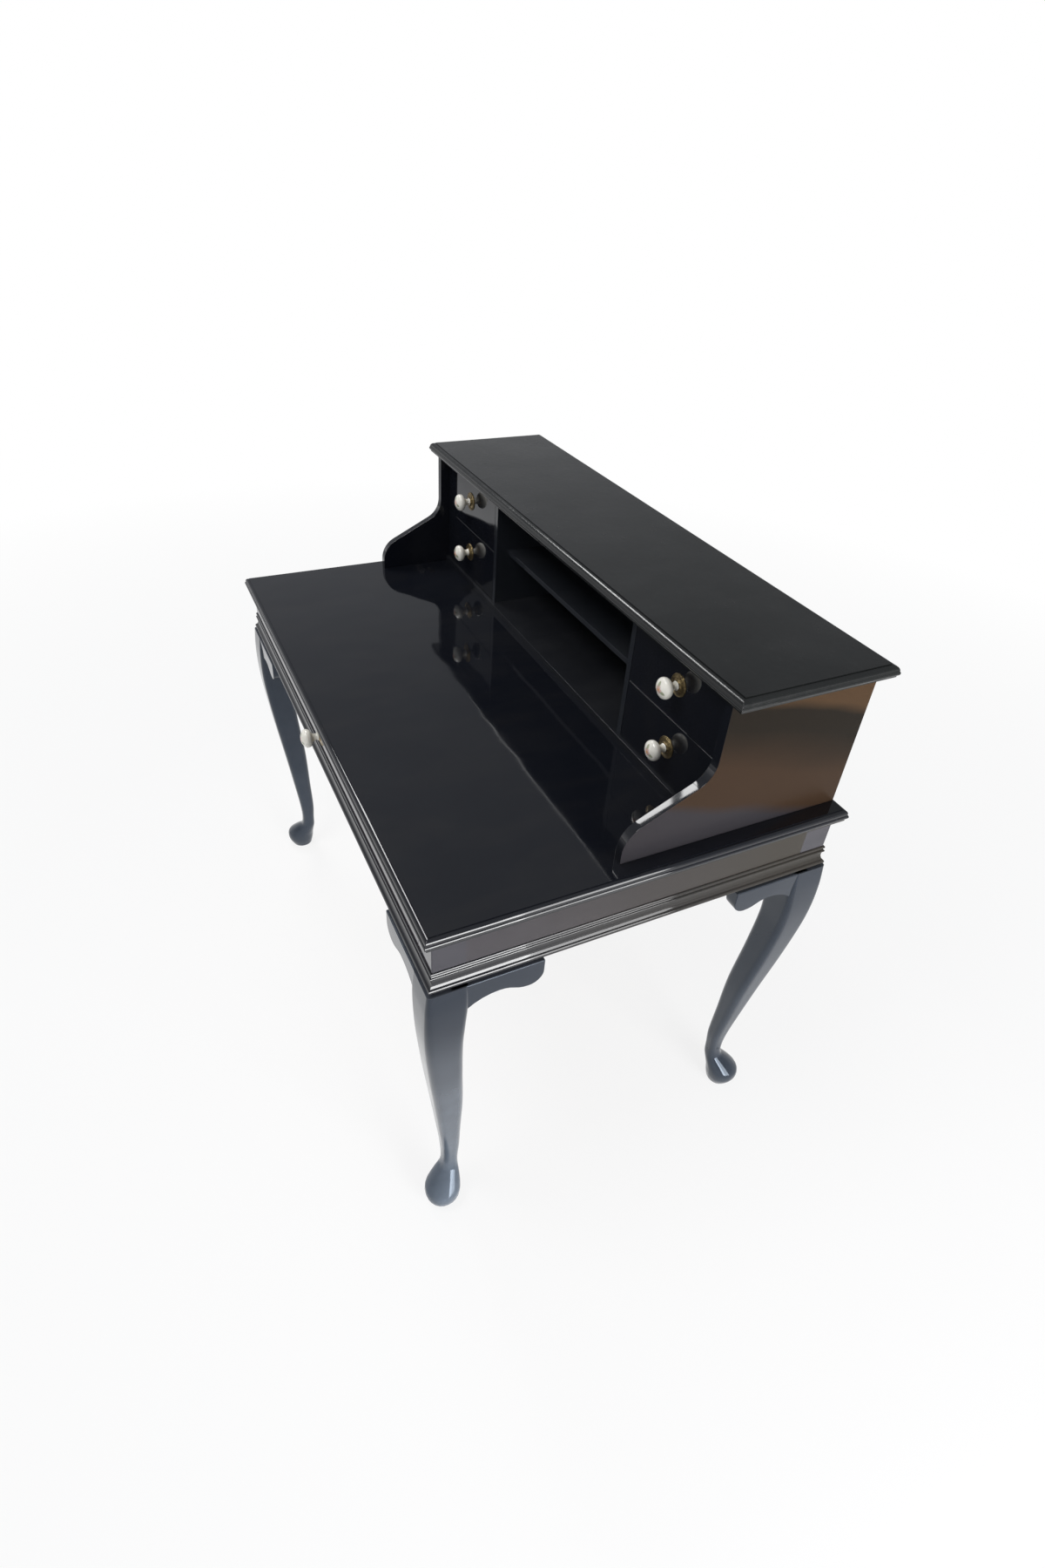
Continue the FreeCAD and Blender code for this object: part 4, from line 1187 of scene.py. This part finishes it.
@dataclass
class Gallery:
    """The gallery: swept ends, partitions, shelf and the moulded slab."""

    slab_moulding: Outline = in_metres(
        (-3, -19), (-3, -16), (-1.5, -16, 1.5), (-1.5, -9.5), (-1.5, -8, 1.9), (-10, -1.5),
        (-11, -1.5), (-11, 0))
    end_edge: float = 0.0008
    board_edge: float = 0.0004
    mitre: float = 0.0007
    toe_reach: float = 0.139
    toe_height: float = 0.0173
    toe_radius: float = 0.050
    sweep_radius: float = 0.045
    slope: float = math.radians(26)

    def end_outline(self, depth: float, height: float) -> Outline:
        """Outline of an end: an upright front edge that sweeps out to a rounded toe.

        Args:
            depth: From the upright front edge to the back.
            height: From the table top to the slab.

        Returns:
            The outline, with its origin at the foot of the upright edge.
        """
        toe, sweep = self.toe_radius, self.sweep_radius
        sine, cosine = math.sin(self.slope), math.cos(self.slope)
        toe_tangent = (toe - self.toe_reach - toe * sine, self.toe_height + toe * cosine)
        sweep_y = sweep * sine - sweep
        sweep_z = toe_tangent[1] + (sweep_y - toe_tangent[0]) * math.tan(self.slope)
        share = 1 - math.cos((math.pi / 2 - self.slope) / 2)
        return ((-self.toe_reach, 0), (depth, 0), (depth, height), (0, height),
                (0, sweep_z + sweep * cosine, -sweep * share), (sweep_y, sweep_z),
                (*toe_tangent, toe * share), (-self.toe_reach, self.toe_height))

    def build(self) -> None:
        """Saw the ends, plane the boards and mould the slab."""
        for hand in ("left", "right"):
            low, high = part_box(f"end_panel_{hand}")
            foot = Vector((low.x, low.y + self.toe_reach, low.z))
            outline = self.end_outline(high.y - foot.y, high.z - low.z)
            panel = outlined(f"swept_end_{hand}", outline, Face.SIDE, foot, high.x - low.x, self.end_edge)
            fit(panel, END_LACQUER, "desk", f"end_panel_{hand}")
        boards = dict.fromkeys(("partition_left", "partition_right", "centre_shelf"), INNER_LACQUER)
        boards["gallery_base_board"] = LEDGE_LACQUER
        for node, finish in boards.items():
            fit(board(f"{node}_board", *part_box(node), self.board_edge), finish, "desk", node)
        low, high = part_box("gallery_top")
        top = slab("moulded_gallery_top", low, high, self.slab_moulding, self.mitre)
        fit(top, SLAB_LACQUER, "desk", "gallery_top")
        dress(INNER_LACQUER, "gallery_back", "dust_boards")


# ---- studio


def placed(name: str, data: bpy.types.ID, place: Point, axes: Sequence[Point | Vector]) -> Piece:
    """Stand a camera or lamp at a place, with its own X, Y and Z turned these three ways."""
    made = bpy.data.objects.new(name, data)
    made.matrix_world = Matrix.Translation(place) @ Matrix(axes).transposed().to_4x4()
    bpy.context.scene.collection.objects.link(made)
    return made


@dataclass(frozen=True)
class Softbox:
    """A rectangular lamp: where it hangs, what it points at, which way it is long, size and radiance."""

    name: str
    place: Point
    aim: Point
    along: Point
    size: tuple[float, float]
    radiance: float

    def hang(self) -> None:
        """Add the lamp to the scene."""
        data = bpy.data.lights.new(self.name, "AREA")
        data.shape = "RECTANGLE"
        data.size, data.size_y = self.size
        data.energy = self.radiance * math.pi * self.size[0] * self.size[1]
        back = (Vector(self.place) - Vector(self.aim)).normalized()
        across = back.cross(Vector(self.along)).normalized()
        placed(self.name, data, self.place, (across.cross(back), across, back))


@dataclass
class Studio:
    """Camera, floor, lamps and surroundings."""

    camera_place: Point = (1.245529, -0.583529, 1.579775)
    camera_right: Point = (0.429839, 0.900993, 0.058729)
    camera_down: Point = (0.576773, -0.223955, -0.785607)
    camera_ahead: Point = (-0.694674, 0.371558, -0.615933)
    lens: float = 28.866
    sensor: float = 36.0
    floor_colour: Colour = (0.86, 0.86, 0.86)
    floor_side: float = 60.0
    floor_fade: Point = (1.2, 3.4)
    floor_white: float = 0.83
    glossy_white: float = 0.05
    corner_shade: float = 0.42
    far_shade: float = 0.8
    room: tuple[tuple[float, Colour], ...] = (
        (0.0, WHITE), (0.16, (0.66, 0.67, 0.70)), (0.27, (0.37, 0.38, 0.40)),
        (0.38, (0.33, 0.34, 0.36)), (0.55, (0.25, 0.26, 0.28)), (1.0, (0.30, 0.31, 0.33)))
    lamps: tuple[Softbox, ...] = (
        Softbox("left_pane", (-1.7, -0.1356, 3.1097), (0.41, 0.1944, 0.9897), (-1.3, 0.55, -0.5),
                (1.15, 0.245), 12.0),
        Softbox("left_strip", (-1.7954, -0.4989, 2.9581), (0.3146, -0.1689, 0.8381), (-1.3, 0.55, -0.5),
                (1.15, 0.445), 12.0),
        Softbox("right_window", (2.85, 0.30, 0.85), (0.5, -0.1, 0.75), (0.0, 0.0, 1.0), (1.3, 0.6), 15.0),
        Softbox("right_wall", (2.85, 0.95, 1.1), (0.5, 0.0, 0.75), (0.0, 0.0, 1.0), (1.8, 0.7), 8.0),
        Softbox("front_key", (0.2, -1.3, 2.9), (0.0, 0.0, 0.8), (1.0, 0.0, 0.0), (1.2, 0.8), 8.5))

    def camera(self) -> None:
        """Stand the camera where it looks down on the right front corner."""
        data = bpy.data.cameras.new("camera")
        data.lens = self.lens
        data.sensor_width = self.sensor
        data.sensor_fit = "HORIZONTAL"
        up, back = (tuple(-value for value in way) for way in (self.camera_down, self.camera_ahead))
        bpy.context.scene.camera = placed("camera", data, self.camera_place, (self.camera_right, up, back))

    def seen(self, tree: Tree, glossy: float) -> Wire:
        """Share of a ray that takes the white background: all of a camera or transmission ray."""
        rays = [tree.add("LightPath", output=f"Is {kind} Ray")
                for kind in ("Camera", "Transmission", "Glossy")]
        return tree.maths("MAXIMUM", tree.maths("MAXIMUM", rays[0], rays[1]), rays[2] * glossy)

    def floor(self) -> None:
        """A pale floor that keeps the desk's shadow and fades to white far off."""
        bpy.ops.object.select_all(action="DESELECT")
        bpy.ops.mesh.primitive_plane_add(size=self.floor_side, location=(0, 0, 0))
        floor = named("studio_floor")
        made = bpy.data.materials.new("studio_floor")
        made.use_nodes = True
        tree = Tree(made.node_tree)
        away = tree.vectors("LENGTH", tree.place())
        away = Wire(tree, away.socket.node.outputs["Value"]).between(*self.floor_fade)
        matt = tree.add("BsdfDiffuse", None, {"Color": self.floor_colour})
        lit = tree.add("Emission", None, {"Color": WHITE, "Strength": 1.0})
        glossy = tree.add("LightPath", output="Is Glossy Ray")
        far_share = away * (1 - self.floor_white) - glossy * away * self.far_shade
        share = self.seen(tree, 1.0) * (self.floor_white + far_share)
        tree.finish(tree.blend(share, matt, lit))
        floor.data.materials.append(made)

    def surroundings(self) -> None:
        """A pale room, brightest at the horizon and dimmer overhead."""
        world = bpy.data.worlds.new("studio")
        world.use_nodes = True
        bpy.context.scene.world = world
        tree = Tree(world.node_tree)
        way = tree.add("TexCoord", output="Generated")
        height = tree.axis(way, "Z")
        room = tree.add("ValToRGB", {"stops": self.room}, {0: height})
        corner = tree.axis(way, "Y").between(0.15, 0.60) * (tree.axis(way, "X") * -1.0).between(0.0, 0.4)
        room = tree.mix(corner * self.corner_shade, room, (0.0, 0.0, 0.0))
        colour = tree.mix(self.seen(tree, self.glossy_white), room, WHITE)
        surface = tree.add("Background", None, {"Color": colour, "Strength": 1.0})
        tree.add("OutputWorld", None, {"Surface": surface})

    def build(self) -> None:
        """Set up the whole studio."""
        bpy.context.scene.view_settings.view_transform = "Standard"
        self.camera()
        self.floor()
        self.surroundings()
        for lamp in self.lamps:
            lamp.hang()


def main() -> None:
    """Build the studio and every sub-assembly."""
    logging.basicConfig(level=logging.INFO, format="%(message)s")
    Studio().build()
    TableTop().build()
    Frieze().build()
    Leg().build()
    Gallery().build()
    Drawer("frieze_drawer", FRIEZE_LACQUER, 0.012).build()
    for hand in ("left", "right"):
        for tier in ("lower", "upper"):
            Drawer(f"{tier}_{hand}_drawer", GLOSS, 0.009).build()


if __name__ == "__main__":
    main()
